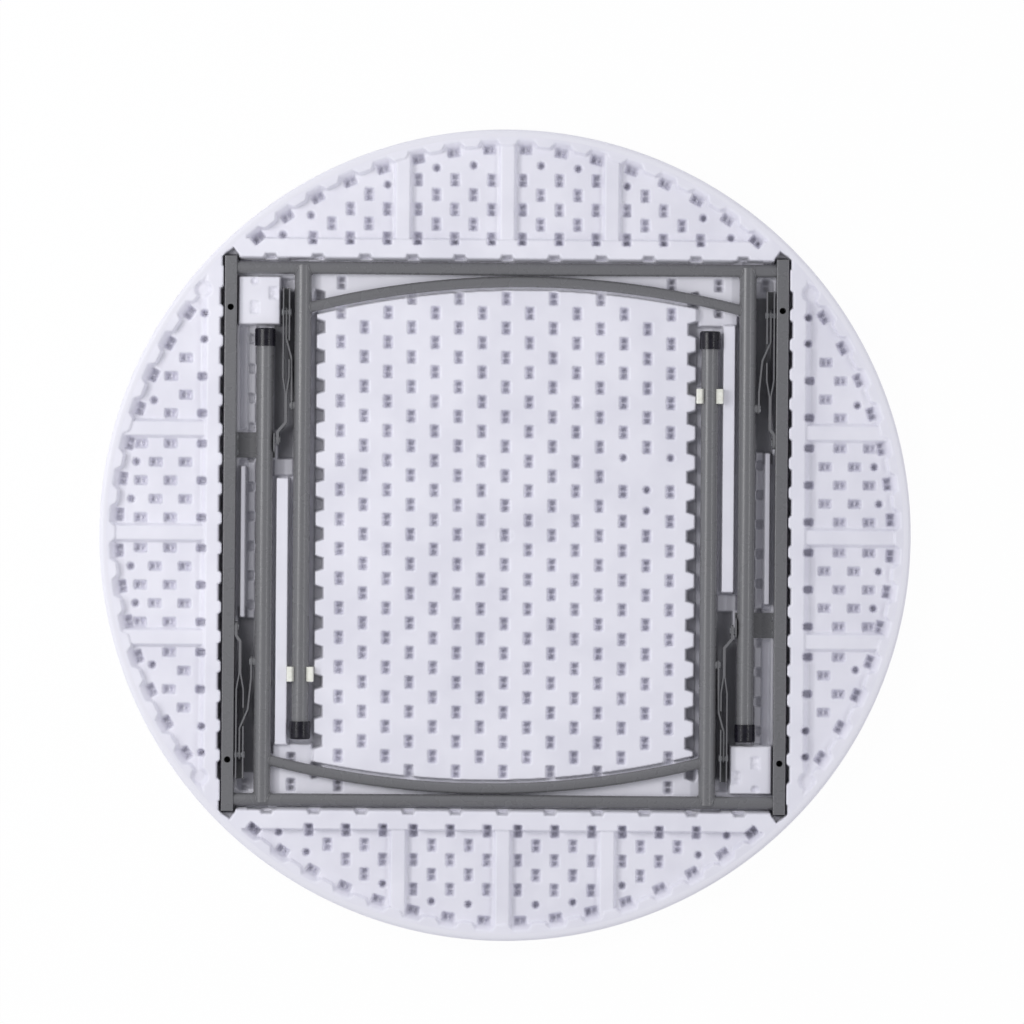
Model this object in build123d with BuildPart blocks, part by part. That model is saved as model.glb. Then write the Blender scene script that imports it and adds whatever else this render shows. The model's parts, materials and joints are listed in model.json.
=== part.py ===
import os
from math import cos, hypot, radians, sin, tan

from build123d import *

# Round folding table lying face down with its legs folded, seen from its underside.
# Play face on z = 0, underside up. The far leg frame hinges at +Y, the near one at -Y.
# The near leg frame and its stays are the far ones turned half a turn about Z.

# Driving dimensions
top_diameter = 1219.0
rim_height = 44.0
floor_height = 12.0
panel_height = 28.0
table_height = 737.0
hinge_height = 28.0
hinge_from_centre = 400.0
rail_from_centre = 414.6
leg_half_span = 334.5
leg_offset = 28.2

# Clearances and general values
overrun = 5.0
running_gap = 0.08
seat_gap = 0.05
side_gap = 0.3
quarter_turn = 90.0
half_turn = 180.0

# Tabletop edge and inner wall
edge_round = 9.0
rim_round = 5.0
rim_tooth_radius = 584.0
rim_notch_foot_radius = 587.0
rim_notch_radius = 596.0
rim_notch_pitch = 5.35
rim_notches_per_field = 16
rim_notch_mouth = 33.0
rim_notch_end = 23.0

# Channel that holds the steel frame, and the raised bands around it
channel_half_x = 426.5
channel_half_y = 414.5
band_outer_x = 454.0
band_outer_y = 444.0
corner_reach_radius = 596.0
corner_straight_y = 419.0
corner_peak_y = 434.0
corner_half_width = 12.7
corner_peak_shift = 4.0
wall_notch_depth = 5.5
long_wall_notch_mouth = 20.5
long_wall_notch_end = 14.5
long_wall_notch_pitch = 71.0
long_wall_notches = 11
short_wall_notch_mouth = 30.0
short_wall_notch_end = 25.0
short_wall_notch_pitch = 44.5
short_wall_notches = 17

# Smooth ribs across the four fields
rib_pitch = 157.0
rib_width = 24.0
rib_height = 40.0
rib_round = 7.0

# Pockets that tie the underside to the play face
pocket_floor = 4.0
pocket_across = 12.0
pocket_along = 18.5
pocket_draft = 6.0
pocket_margin = 4.0
dimple_diameter = 9.0
field_pitch = 55.7
field_rows = 5
field_row_step = 22.2
long_field_first_row = 445.0
long_field_reach = 570.0
side_field_first_row = 459.0
side_field_reach = 575.0
rim_pocket_radius = 580.5
side_rim_pockets = 14
long_rim_pockets = 16
centre_column_step = 35.5
centre_row_pitch = 44.5
centre_half_columns = 7
centre_half_rows = 9

# Single dimples beside the rim, as places along the band and away from the centre
long_field_dimples = [(50.7, 556.0), (106.4, 552.0), (179.8, 526.0), (295.0, 479.0), (337.0, 449.0)]
side_field_dimples = [(50.7, 562.5), (106.4, 555.0), (199.0, 529.0), (328.0, 460.0)]

# Centre pockets by lattice column and row: single dimples round the plain spot, with their place
# along Y, and the ones that the far end zone shows between brace and hinge tube
plain_spot_dimples = {(5, 2.5): 117.7, (7, 2.5): 117.7, (6, 2): 69.5, (6, 1): 38.0}
far_zone_pockets = [(-8, 8), (-7, 8.5), (7, 8.5), (8, 8), (9, 7.5), (9, 8.5), (11, 8.5)]

# Centre panel between the folded legs
panel_half_width = 282.0
panel_notch_depth = 10.0
panel_notch_mouth = 21.0
panel_notch_end = 18.5
panel_notches = 15
arch_gap = 4.0

# Raised strips and pockets in the leg bays, with places along Y for the left bay
strip_width = 15.7
strip_from_centre = 334.6
strip_start = -313.0
strip_end = 87.0
ridge_width = 9.0
ridge_from_centre = 394.5
ridge_start = -127.0
ridge_end = 102.0
bay_pocket_from_centre = 384.0
bay_pocket_middle = -19.0
bay_pockets = 5
bay_pocket_across = 9.0
bay_pocket_along = 12.5

# Raised block in the corner of the far left bay
block_from_centre = 372.0
block_middle_y = 350.5
block_across = 64.0
block_along = 73.0
block_dimple = (-379.0, 380.0)
block_pockets = [(-351.0, 362.0), (-379.0, 340.0)]

# Rails
rail_width = 18.5
rail_height = 28.0
rail_length = 834.0
rail_wall = 1.2
rail_corner = 2.0
access_hole_diameter = 9.6
rail_screw_inset = 77.0
screw_head_diameter = 9.0
screw_head_height = 2.6
screw_shank_diameter = 4.8
screw_depth = 8.0

# Leg frames
post_diameter = 25.4
tube_wall = 1.3
hinge_tube_diameter = 19.0
hinge_tube_entry = 6.0
cope_past_axis = 4.0
brace_diameter = 16.0
brace_end_from_hinge = 62.0
brace_apex_from_hinge = 22.0
cap_diameter = 31.0
cap_length = 27.0
cap_sole = 5.0
cap_round = 3.0

# Folding stays: pivots measured from the hinge axis along the folded leg
table_pivot_from_hinge = 258.0
leg_pivot_from_hinge = 207.0
fork_sheet = 2.0
fork_width = 23.0
fork_eye_width = 20.0
fork_corner = 4.0
tail_past_knee = 36.5
web_length = 26.0
plates_part_from_knee = 98.0
plates_meet_from_knee = 122.0
eye_flat = 11.0
link_sheet = 2.5
link_width = 16.0
link_flat = 24.0
stop_gap = 0.4
joggle_start = 40.0
joggle_end = 68.0
notch_margin = 3.0
bend_radius = 3.0
rivet_diameter = 6.0
rivet_shoulder_diameter = 10.0
rivet_head_diameter = 12.0
rivet_head_height = 1.6
boss_diameter = 14.0

# Outer stays, beside the rails: sideways places measured from the post's axis
outer_link_offset = 17.3
outer_joggle_offset = 22.0
outer_knee_offset = 34.0
outer_half_gap = 4.3
outer_eye_joggle = 9.0

# Inner stays, carried by the straps: sideways places measured from the post's axis
inner_link_offset = 16.2
inner_joggle_offset = 16.9
inner_knee_offset = 24.5
inner_half_gap = 3.5
inner_eye_joggle = 14.0
inner_collar = 2.0

# Straps that carry the inner stays
strap_sheet = 2.0
strap_width = 38.0
strap_from_centre = 133.0
strap_flange_height = 22.0
strap_bend = 3.0
ear_width = 30.0
ear_from_centre = 137.0
ear_top = 39.0
ear_round = 8.0
ear_clear_of_post = 0.9
strap_rivet_spacing = 22.0
strap_rivet_diameter = 4.8
strap_rivet_height = 26.0
strap_rivet_head = 8.0
strap_rivet_head_height = 1.4

# Snap clips that hold the folded legs
clip_width = 40.0
clip_length = 22.0
clip_top = 43.0
clip_round = 2.5
clip_tip_half_gap = 9.5
clip_mouth_half_gap = 12.5
clip_from_hinge = 611.0
clip_screw_diameter = 4.0
clip_screw_head = 8.0
clip_screw_head_height = 2.0

# Sizes that follow from the ones above
top_radius = top_diameter / 2
leg_length = table_height - hinge_height
post_radius = post_diameter / 2
hinge_tube_radius = hinge_tube_diameter / 2
brace_tube_radius = brace_diameter / 2
rivet_radius = rivet_diameter / 2
rail_inner_face = rail_from_centre - rail_width / 2
rail_middle_height = floor_height + rail_height / 2
rail_screw_y = rail_length / 2 - rail_screw_inset
left_post_x = leg_offset - leg_half_span
right_post_x = leg_offset + leg_half_span
brace_half_chord = leg_half_span - post_radius
brace_rise = brace_end_from_hinge - brace_apex_from_hinge
brace_radius = (brace_half_chord**2 + brace_rise**2) / (2 * brace_rise)
brace_centre_y = hinge_from_centre - brace_apex_from_hinge - brace_radius
panel_arch_radius = brace_radius - brace_tube_radius - arch_gap
pivot_distance = hypot(table_pivot_from_hinge, leg_pivot_from_hinge)
fork_reach = (pivot_distance + table_pivot_from_hinge - leg_pivot_from_hinge) / 2
link_reach = (pivot_distance - table_pivot_from_hinge + leg_pivot_from_hinge) / 2
knee_from_hinge = table_pivot_from_hinge - fork_reach
knee_y = hinge_from_centre - knee_from_hinge
table_pivot_y = hinge_from_centre - table_pivot_from_hinge
leg_pivot_y = hinge_from_centre - leg_pivot_from_hinge
ear_outer_face = right_post_x - post_radius - ear_clear_of_post
ear_inner_face = ear_outer_face - strap_sheet
outer_seat = rail_inner_face - right_post_x
inner_seat = ear_inner_face + left_post_x
outer_eye_offset = outer_seat - side_gap - fork_sheet
inner_eye_offset = inner_seat - inner_collar - side_gap - fork_sheet
clip_bore_radius = post_radius + side_gap
clip_y = hinge_from_centre - clip_from_hinge
clip_middle_height = (floor_height + clip_top) / 2

parts = {}


def both_ends(places):
    # A place and the one half a turn away from it
    return [place for x, y in places for place in ((x, y), (-x, -y))]


def all_corners(x, y):
    return [(x, y), (-x, y), (-x, -y), (x, -y)]


def keep(name, part):
    part.label = name
    parts[name] = part


def keep_pair(far_name, near_name, part):
    # The far piece, and the same piece turned half a turn for the near end
    keep(far_name, part)
    with BuildPart() as turned:
        add(part, rotation=(0, 0, half_turn))
    keep(near_name, turned.part)


def lattice(column, row):
    return column * centre_column_step, row * centre_row_pitch


def field_columns(shift):
    # Columns of one row of field pockets, centred on the bays between the ribs
    columns = []
    clear = (rib_width + pocket_across) / 2
    for bay_start, bay_end in ((0, rib_pitch), (rib_pitch, top_radius)):
        for step in (-1, 0, 1, 2):
            column = bay_start + rib_pitch / 2 + shift + step * field_pitch
            if bay_start + clear < column < bay_end - clear:
                columns.append(column)
    return columns


def field_places(first_row, reach):
    # Pocket places of one field: staggered rows that run outwards from the band
    places = []
    for row in range(field_rows):
        distance = first_row + row * field_row_step
        for column in field_columns(field_pitch / 2 if row % 2 else 0):
            if hypot(column + pocket_across / 2, distance + pocket_along / 2) < reach:
                places += [(column, distance), (-column, distance)]
    return places


def centre_places():
    # Pocket places of the centre panel: columns staggered by half a row pitch
    places = []
    reach = panel_arch_radius - pocket_margin
    for column in range(-centre_half_columns, centre_half_columns + 1):
        stagger = 0.5 if column % 2 else 0
        for row in range(-centre_half_rows, centre_half_rows + 1):
            x, y = lattice(column, row + stagger)
            far = hypot(x - leg_offset, y + pocket_along / 2 - brace_centre_y)
            near = hypot(x + leg_offset, -y + pocket_along / 2 - brace_centre_y)
            plain = (column, row + stagger) in plain_spot_dimples
            if far < reach and near < reach and not plain:
                places.append((x, y))
    return places


def mirrored(places):
    return [(side * x, y) for x, y in places for side in (-1, 1)]


def rim_places(radius, side_count, long_count):
    # Even steps along the rim, centred on the middle of each of the four fields
    places = []
    for field, count in enumerate((side_count, long_count, side_count, long_count)):
        for step in range(count):
            angle = field * quarter_turn + (step - (count - 1) / 2) * rim_notch_pitch
            x, y = radius * cos(radians(angle)), radius * sin(radians(angle))
            places.append(Location((x, y, 0), (0, 0, angle)))
    return places


def tapered_pocket(across, along, mouth_height):
    # Pocket with its full size at the mouth, tall enough to cut what stands beside it
    growth = 2 * (mouth_height - pocket_floor) * tan(radians(pocket_draft))
    with BuildPart() as pocket:
        with BuildSketch(Plane.XY.offset(pocket_floor)):
            Rectangle(across - growth, along - growth)
        extrude(amount=rim_height + overrun - pocket_floor, taper=-pocket_draft)
    return pocket.part


def tapered_notch(mouth, end, depth):
    # Outline of a notch with its mouth on the X axis, narrowing along +Y
    with BuildSketch() as notch:
        with BuildLine():
            Polyline(
                (-mouth / 2, 0),
                (-end / 2, depth),
                (end / 2, depth),
                (mouth / 2, 0),
                close=True,
            )
        make_face()
    return notch.sketch


pocket = tapered_pocket(pocket_across, pocket_along, panel_height)
bay_pocket = tapered_pocket(bay_pocket_across, bay_pocket_along, floor_height)
long_wall_notch = tapered_notch(long_wall_notch_mouth, long_wall_notch_end, wall_notch_depth)
short_wall_notch = tapered_notch(short_wall_notch_mouth, short_wall_notch_end, wall_notch_depth)
panel_notch = tapered_notch(panel_notch_mouth, panel_notch_end, panel_notch_depth)

zone_pockets = [lattice(column, row) for column, row in far_zone_pockets]
long_pockets = field_places(long_field_first_row, long_field_reach)
side_pockets = field_places(side_field_first_row, side_field_reach)
upright_pockets = centre_places() + both_ends(long_pockets + zone_pockets + block_pockets)
turned_pockets = [Location((-y, x, 0), (0, 0, quarter_turn)) for x, y in both_ends(side_pockets)]
rim_pockets = rim_places(rim_pocket_radius, side_rim_pockets, long_rim_pockets)
long_dimples = both_ends(mirrored(long_field_dimples) + [block_dimple])
side_dimples = [(-y, x) for x, y in both_ends(mirrored(side_field_dimples))]
spot_dimples = [(lattice(column, row)[0], y) for (column, row), y in plain_spot_dimples.items()]
bay_pocket_span = (bay_pockets - 1) * short_wall_notch_pitch
bay_pocket_places = [
    (-bay_pocket_from_centre, bay_pocket_middle - bay_pocket_span / 2 + k * short_wall_notch_pitch)
    for k in range(bay_pockets)
]

# One scallop of the rim's inner wall, on the X axis: its wall slopes out to the rim's top
with BuildPart() as scallop:
    wall_slope = (rim_notch_radius - rim_notch_foot_radius) / (rim_height - panel_height)
    scallop_start = rim_tooth_radius - overrun
    scallop_top_radius = rim_notch_radius + overrun * wall_slope
    with BuildSketch(Plane.XZ):
        with BuildLine():
            Polyline(
                (scallop_start, panel_height),
                (rim_notch_foot_radius, panel_height),
                (scallop_top_radius, rim_height + overrun),
                (scallop_start, rim_height + overrun),
                close=True,
            )
        make_face()
    revolve(axis=Axis.Z)
    with BuildSketch(Plane.XY.offset(panel_height)):
        with BuildLine():
            Polyline(
                (scallop_start, -rim_notch_mouth / 2),
                (rim_tooth_radius, -rim_notch_mouth / 2),
                (scallop_top_radius, -rim_notch_end / 2),
                (scallop_top_radius, rim_notch_end / 2),
                (rim_tooth_radius, rim_notch_mouth / 2),
                (scallop_start, rim_notch_mouth / 2),
                close=True,
            )
        make_face()
    extrude(amount=rim_height - panel_height + overrun, mode=Mode.INTERSECT)

# Tabletop: one blow-moulded piece with its rim, fields, bands, ribs, channel and pockets
with BuildPart() as tabletop:
    with BuildSketch(Plane.XZ):
        with BuildLine():
            Polyline(
                (0, 0),
                (top_radius - edge_round, 0),
            )
            RadiusArc((top_radius - edge_round, 0), (top_radius, edge_round), -edge_round)
            Line((top_radius, edge_round), (top_radius, rim_height - rim_round))
            RadiusArc(
                (top_radius, rim_height - rim_round),
                (top_radius - rim_round, rim_height),
                -rim_round,
            )
            Polyline(
                (top_radius - rim_round, rim_height),
                (rim_tooth_radius, rim_height),
                (rim_tooth_radius, panel_height),
                (0, panel_height),
                (0, 0),
            )
        make_face()
    revolve(axis=Axis.Z)
    # Raised bands that frame the channel
    with BuildSketch(Plane.XY.offset(panel_height)):
        Rectangle(2 * band_outer_x, 2 * band_outer_y)
        Circle(rim_tooth_radius + overrun, mode=Mode.INTERSECT)
        Rectangle(2 * channel_half_x, 2 * channel_half_y, mode=Mode.SUBTRACT)
    extrude(amount=rim_height - panel_height)
    # Round-shouldered ribs from the bands into the rim's wall
    for plane, start in ((Plane.XZ, band_outer_y - overrun), (Plane.YZ, band_outer_x - overrun)):
        for place in (-rib_pitch, 0, rib_pitch):
            rib_end = ((rim_tooth_radius + overrun) ** 2 - place**2) ** 0.5
            for direction in (-1, 1):
                with BuildSketch(plane.offset(direction * start)):
                    with Locations((place, (panel_height + rib_height) / 2)):
                        rib_face = Rectangle(rib_width, rib_height - panel_height)
                    fillet(rib_face.vertices().group_by(Axis.Y)[-1], radius=rib_round)
                extrude(amount=direction * (rib_end - start))
    # Sunken channel and leg bays around the centre panel, strips, ridges and corner blocks
    with BuildSketch(Plane.XY.offset(floor_height)):
        Rectangle(2 * channel_half_x, 2 * channel_half_y)
        for x_side, y_side in all_corners(1, 1):
            with BuildLine():
                Polyline(
                    (x_side * (rail_from_centre - corner_half_width), y_side * hinge_from_centre),
                    (x_side * (rail_from_centre + corner_half_width), y_side * hinge_from_centre),
                    (x_side * (rail_from_centre + corner_half_width), y_side * corner_straight_y),
                    (x_side * (rail_from_centre - corner_peak_shift), y_side * corner_peak_y),
                    (x_side * (rail_from_centre - corner_half_width), y_side * corner_straight_y),
                    close=True,
                )
            make_face()
        Circle(corner_reach_radius, mode=Mode.INTERSECT)
        with BuildSketch(mode=Mode.PRIVATE) as centre_panel:
            Rectangle(2 * panel_half_width, 2 * hinge_from_centre)
            with Locations((leg_offset, brace_centre_y)):
                Circle(panel_arch_radius, mode=Mode.INTERSECT)
            with Locations((-leg_offset, -brace_centre_y)):
                Circle(panel_arch_radius, mode=Mode.INTERSECT)
        add(centre_panel.sketch, mode=Mode.SUBTRACT)
        strip_middle = (strip_start + strip_end) / 2
        with Locations(*both_ends([(-strip_from_centre, strip_middle)])):
            Rectangle(strip_width, strip_end - strip_start, mode=Mode.SUBTRACT)
        ridge_middle = (ridge_start + ridge_end) / 2
        with Locations(*both_ends([(-ridge_from_centre, ridge_middle)])):
            Rectangle(ridge_width, ridge_end - ridge_start, mode=Mode.SUBTRACT)
        with Locations(*both_ends([(-block_from_centre, block_middle_y)])):
            Rectangle(block_across, block_along, mode=Mode.SUBTRACT)
    extrude(amount=rim_height - floor_height + overrun, mode=Mode.SUBTRACT)
    # Deep notches in the channel's walls and in the sides of the centre panel
    with BuildSketch(Plane.XY.offset(pocket_floor)):
        for side in (-1, 1):
            with Locations(Location((0, side * channel_half_y, 0), (0, 0, quarter_turn * (1 - side)))):
                with GridLocations(long_wall_notch_pitch, 0, long_wall_notches, 1):
                    add(long_wall_notch)
            with Locations(Location((side * channel_half_x, 0, 0), (0, 0, -quarter_turn * side))):
                with GridLocations(short_wall_notch_pitch, 0, short_wall_notches, 1):
                    add(short_wall_notch)
            with Locations(Location((side * panel_half_width, 0, 0), (0, 0, quarter_turn * side))):
                with GridLocations(centre_row_pitch, 0, panel_notches, 1):
                    add(panel_notch)
    extrude(amount=rim_height - pocket_floor + overrun, mode=Mode.SUBTRACT)
    # Pilot holes for the rail screws and the clip screws
    with Locations(*[(x, y, floor_height) for x, y in all_corners(rail_from_centre, rail_screw_y)]):
        Cylinder(screw_shank_diameter / 2 + seat_gap, 2 * (screw_depth + seat_gap), mode=Mode.SUBTRACT)
    with Locations(*[(x, y, floor_height) for x, y in both_ends([(left_post_x, clip_y)])]):
        Cylinder(clip_screw_diameter / 2 + seat_gap, 2 * (screw_depth + seat_gap), mode=Mode.SUBTRACT)
    # Scalloped inner wall of the rim
    with Locations(*rim_places(0, rim_notches_per_field, rim_notches_per_field)):
        add(scallop.part, mode=Mode.SUBTRACT)
    # Small pockets of the leg bays, single dimples, and the pockets of the panel, the fields and the rim
    with Locations(*both_ends(bay_pocket_places)):
        add(bay_pocket, mode=Mode.SUBTRACT)
    with BuildSketch(Plane.XY.offset(pocket_floor)):
        with Locations(*long_dimples, *side_dimples, *spot_dimples):
            Circle(dimple_diameter / 2)
    extrude(amount=rim_height - pocket_floor, mode=Mode.SUBTRACT)
    with Locations(*upright_pockets, *turned_pockets, *rim_pockets):
        add(pocket, mode=Mode.SUBTRACT)
keep("tabletop", tabletop.part)

# Right rail: rectangular tube with hinge bores, access holes and rivet holes
across = (0, quarter_turn, 0)
with BuildPart() as rail:
    with BuildSketch(Plane.XZ):
        with Locations((rail_from_centre, rail_middle_height)):
            RectangleRounded(rail_width, rail_height, rail_corner)
            inner_width = rail_width - 2 * rail_wall
            inner_height = rail_height - 2 * rail_wall
            RectangleRounded(inner_width, inner_height, rail_corner - rail_wall / 2, mode=Mode.SUBTRACT)
    extrude(amount=rail_length / 2, both=True)
    wall_cut = 4 * rail_wall
    for y in (-hinge_from_centre, hinge_from_centre):
        with Locations(Location((rail_inner_face, y, hinge_height), across)):
            Cylinder(hinge_tube_radius + running_gap, wall_cut, mode=Mode.SUBTRACT)
    with Locations(Location((rail_inner_face, table_pivot_y, hinge_height), across)):
        Cylinder(rivet_radius + seat_gap, wall_cut, mode=Mode.SUBTRACT)
    for y in (-strap_rivet_spacing / 2, strap_rivet_spacing / 2):
        with Locations(Location((rail_inner_face, y - strap_from_centre, strap_rivet_height), across)):
            Cylinder(strap_rivet_diameter / 2 + seat_gap, wall_cut, mode=Mode.SUBTRACT)
    for y in (-rail_screw_y, rail_screw_y):
        with Locations((rail_from_centre, y, floor_height + rail_height)):
            Cylinder(access_hole_diameter / 2, wall_cut, mode=Mode.SUBTRACT)
        with Locations((rail_from_centre, y, floor_height)):
            Cylinder(screw_shank_diameter / 2 + seat_gap, wall_cut, mode=Mode.SUBTRACT)
keep_pair("rail_right", "rail_left", rail.part)

# Screws that hold the rails down, reached through the access holes
with BuildPart() as rail_screws:
    for x, y in all_corners(rail_from_centre, rail_screw_y):
        with Locations((x, y, floor_height - screw_depth)):
            Cylinder(
                screw_shank_diameter / 2,
                screw_depth + rail_wall,
                align=(Align.CENTER, Align.CENTER, Align.MIN),
            )
        with BuildSketch(Plane.XY.offset(floor_height + rail_wall)):
            with Locations((x, y)):
                RegularPolygon(screw_head_diameter / 2, 6)
        extrude(amount=screw_head_height)
keep("rail_screws", rail_screws.part)

# Left strap: flange on the rail, strip across the bay floor and upright ear
with BuildPart() as strap:
    with BuildSketch(Plane.XZ.offset(-strap_from_centre)):
        with BuildLine():
            FilletPolyline(
                (-rail_inner_face, floor_height + strap_flange_height),
                (-rail_inner_face, floor_height),
                (-ear_inner_face, floor_height),
                (-ear_inner_face, ear_top),
                radius=strap_bend,
            )
            offset(amount=strap_sheet, side=Side.LEFT)
        make_face()
    extrude(amount=strap_width / 2, both=True)
    # The ear is narrower than the strip and has rounded top corners
    with BuildSketch(Plane.YZ.offset(-ear_outer_face - strap_sheet)):
        with Locations((strap_from_centre, (floor_height + ear_top) / 2 + strap_bend)):
            Rectangle(strap_width + overrun, ear_top - floor_height)
        with Locations((ear_from_centre, (floor_height + ear_top) / 2)):
            ear_face = RectangleRounded(ear_width, ear_top - floor_height, ear_round, mode=Mode.SUBTRACT)
    extrude(amount=2 * strap_sheet + strap_bend, mode=Mode.SUBTRACT)
    with Locations(Location((-ear_inner_face, table_pivot_y, hinge_height), across)):
        Cylinder(rivet_radius + seat_gap, overrun, mode=Mode.SUBTRACT)
    for y in (-strap_rivet_spacing / 2, strap_rivet_spacing / 2):
        with Locations(Location((-rail_inner_face, y + strap_from_centre, strap_rivet_height), across)):
            Cylinder(strap_rivet_diameter / 2 + seat_gap, overrun, mode=Mode.SUBTRACT)
keep_pair("strap_left", "strap_right", strap.part)


# Turned pieces on a sideways axis: steps are (start, end, radius) along X
def stack_along_x(y, height, steps):
    for start, end, radius in steps:
        low, high = min(start, end), max(start, end)
        with Locations(Location((low, y, height), across)):
            Cylinder(radius, high - low, align=(Align.CENTER, Align.CENTER, Align.MIN))


with BuildPart() as strap_rivets:
    for side in (-1, 1):
        for y in (-strap_rivet_spacing / 2, strap_rivet_spacing / 2):
            flange_face = rail_inner_face - strap_sheet
            wall_back = rail_inner_face + rail_wall
            steps = [
                (side * (flange_face - strap_rivet_head_height), side * flange_face, strap_rivet_head / 2),
                (side * flange_face, side * wall_back, strap_rivet_diameter / 2),
                (side * wall_back, side * (wall_back + strap_rivet_head_height), strap_rivet_head / 2),
            ]
            stack_along_x(-side * strap_from_centre + y, strap_rivet_height, steps)
keep("strap_rivets", strap_rivets.part)

# Rivets that carry the forks: in the rails for the outer stays, in the ears for the inner ones
with BuildPart() as fork_pivots:
    for side in (-1, 1):
        wall_back = rail_inner_face + rail_wall
        outer_face = right_post_x + outer_eye_offset - fork_sheet - side_gap
        steps = [
            (side * (outer_face - rivet_head_height), side * outer_face, rivet_head_diameter / 2),
            (side * outer_face, side * wall_back, rivet_radius),
            (side * wall_back, side * (wall_back + rivet_head_height), rivet_shoulder_diameter / 2),
        ]
        stack_along_x(side * table_pivot_y, hinge_height, steps)
        collar_face = ear_inner_face - inner_collar
        inner_face = -left_post_x + inner_eye_offset - fork_sheet - side_gap
        steps = [
            (side * (inner_face - rivet_head_height), side * inner_face, rivet_head_diameter / 2),
            (side * inner_face, side * collar_face, rivet_radius),
            (side * collar_face, side * ear_inner_face, rivet_shoulder_diameter / 2),
            (side * ear_inner_face, side * ear_outer_face, rivet_radius),
        ]
        stack_along_x(-side * table_pivot_y, hinge_height, steps)
keep("fork_pivots", fork_pivots.part)

# Far snap clip on the bay floor, with arms that wrap over the folded post
with BuildPart() as clip:
    with BuildSketch(Plane.XZ.offset(-clip_y)):
        with Locations((left_post_x, clip_middle_height)):
            body = Rectangle(clip_width, clip_top - floor_height)
        fillet(body.vertices().group_by(Axis.Y)[-1], radius=clip_round)
        with Locations((left_post_x, hinge_height)):
            Circle(clip_bore_radius, mode=Mode.SUBTRACT)
        tip_height = hinge_height + (clip_bore_radius**2 - clip_tip_half_gap**2) ** 0.5
        with BuildLine():
            Polyline(
                (left_post_x - clip_tip_half_gap, tip_height),
                (left_post_x - clip_mouth_half_gap, clip_top),
                (left_post_x + clip_mouth_half_gap, clip_top),
                (left_post_x + clip_tip_half_gap, tip_height),
                close=True,
            )
        make_face(mode=Mode.SUBTRACT)
        with Locations((left_post_x, (hinge_height + tip_height) / 2)):
            Rectangle(2 * clip_tip_half_gap, tip_height - hinge_height, mode=Mode.SUBTRACT)
    extrude(amount=clip_length / 2, both=True)
    clip_floor = hinge_height - clip_bore_radius
    with Locations((left_post_x, clip_y, clip_floor)):
        CounterSinkHole(
            clip_screw_diameter / 2 + seat_gap,
            clip_screw_head / 2 + seat_gap,
            depth=clip_floor,
        )
keep_pair("clip_far", "clip_near", clip.part)

with BuildPart() as clip_screws:
    for x, y in both_ends([(left_post_x, clip_y)]):
        with BuildSketch(Plane((x, y, 0), x_dir=(1, 0, 0), z_dir=(0, -1, 0))):
            with BuildLine():
                Polyline(
                    (0, floor_height - screw_depth),
                    (clip_screw_diameter / 2, floor_height - screw_depth),
                    (clip_screw_diameter / 2, clip_floor - clip_screw_head_height),
                    (clip_screw_head / 2, clip_floor),
                    (0, clip_floor),
                    close=True,
                )
            make_face()
        revolve(axis=Axis((x, y, 0), (0, 0, 1)))
keep("clip_screws", clip_screws.part)

# Far leg frame
with BuildPart() as hinge_tube:
    with BuildSketch(Plane.YZ):
        with Locations((hinge_from_centre, hinge_height)):
            Circle(hinge_tube_radius)
            Circle(hinge_tube_radius - tube_wall, mode=Mode.SUBTRACT)
    extrude(amount=rail_inner_face + hinge_tube_entry, both=True)
keep_pair("far_hinge_tube", "near_hinge_tube", hinge_tube.part)


def leg_post(x):
    # Tube from the coped joint on the hinge tube down to the sole of its cap
    with BuildPart() as post:
        with BuildSketch(Plane.XZ.offset(-hinge_from_centre - cope_past_axis)):
            with Locations((x, hinge_height)):
                Circle(post_radius)
                Circle(post_radius - tube_wall, mode=Mode.SUBTRACT)
        extrude(amount=leg_length - cap_sole + cope_past_axis)
        with Locations(Location((x, hinge_from_centre, hinge_height), across)):
            Cylinder(hinge_tube_radius, post_diameter + overrun, mode=Mode.SUBTRACT)
    return post.part


def foot_cap(x):
    # Sleeve over the post's end with a closed, rounded sole
    sole_y = hinge_from_centre - leg_length
    with BuildPart() as cap:
        with BuildSketch(Plane((x, sole_y, hinge_height), x_dir=(1, 0, 0), z_dir=(0, 0, 1))):
            with BuildLine():
                Polyline(
                    (0, 0),
                    (cap_diameter / 2 - cap_round, 0),
                )
                RadiusArc(
                    (cap_diameter / 2 - cap_round, 0),
                    (cap_diameter / 2, cap_round),
                    -cap_round,
                )
                Polyline(
                    (cap_diameter / 2, cap_round),
                    (cap_diameter / 2, cap_length),
                    (post_radius + seat_gap, cap_length),
                    (post_radius + seat_gap, cap_sole),
                    (0, cap_sole),
                    (0, 0),
                )
            make_face()
        revolve(axis=Axis((x, sole_y, hinge_height), (0, 1, 0)))
    return cap.part


keep_pair("far_post_left", "near_post_right", leg_post(left_post_x))
keep_pair("far_post_right", "near_post_left", leg_post(right_post_x))
keep_pair("far_cap_left", "near_cap_right", foot_cap(left_post_x))
keep_pair("far_cap_right", "near_cap_left", foot_cap(right_post_x))

# Arched brace between the two posts, coped to their sides
with BuildPart() as brace:
    with BuildLine() as brace_path:
        RadiusArc(
            (left_post_x, hinge_from_centre - brace_end_from_hinge, hinge_height),
            (right_post_x, hinge_from_centre - brace_end_from_hinge, hinge_height),
            brace_radius,
        )
    with BuildSketch(Plane(brace_path.line @ 0, z_dir=brace_path.line % 0)):
        Circle(brace_tube_radius)
        Circle(brace_tube_radius - tube_wall, mode=Mode.SUBTRACT)
    sweep()
    for x in (left_post_x, right_post_x):
        along = (quarter_turn, 0, 0)
        brace_end_y = hinge_from_centre - brace_end_from_hinge
        with Locations(Location((x, brace_end_y, hinge_height), along)):
            Cylinder(post_radius, post_diameter + brace_end_from_hinge, mode=Mode.SUBTRACT)
keep_pair("far_brace", "near_brace", brace.part)


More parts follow.
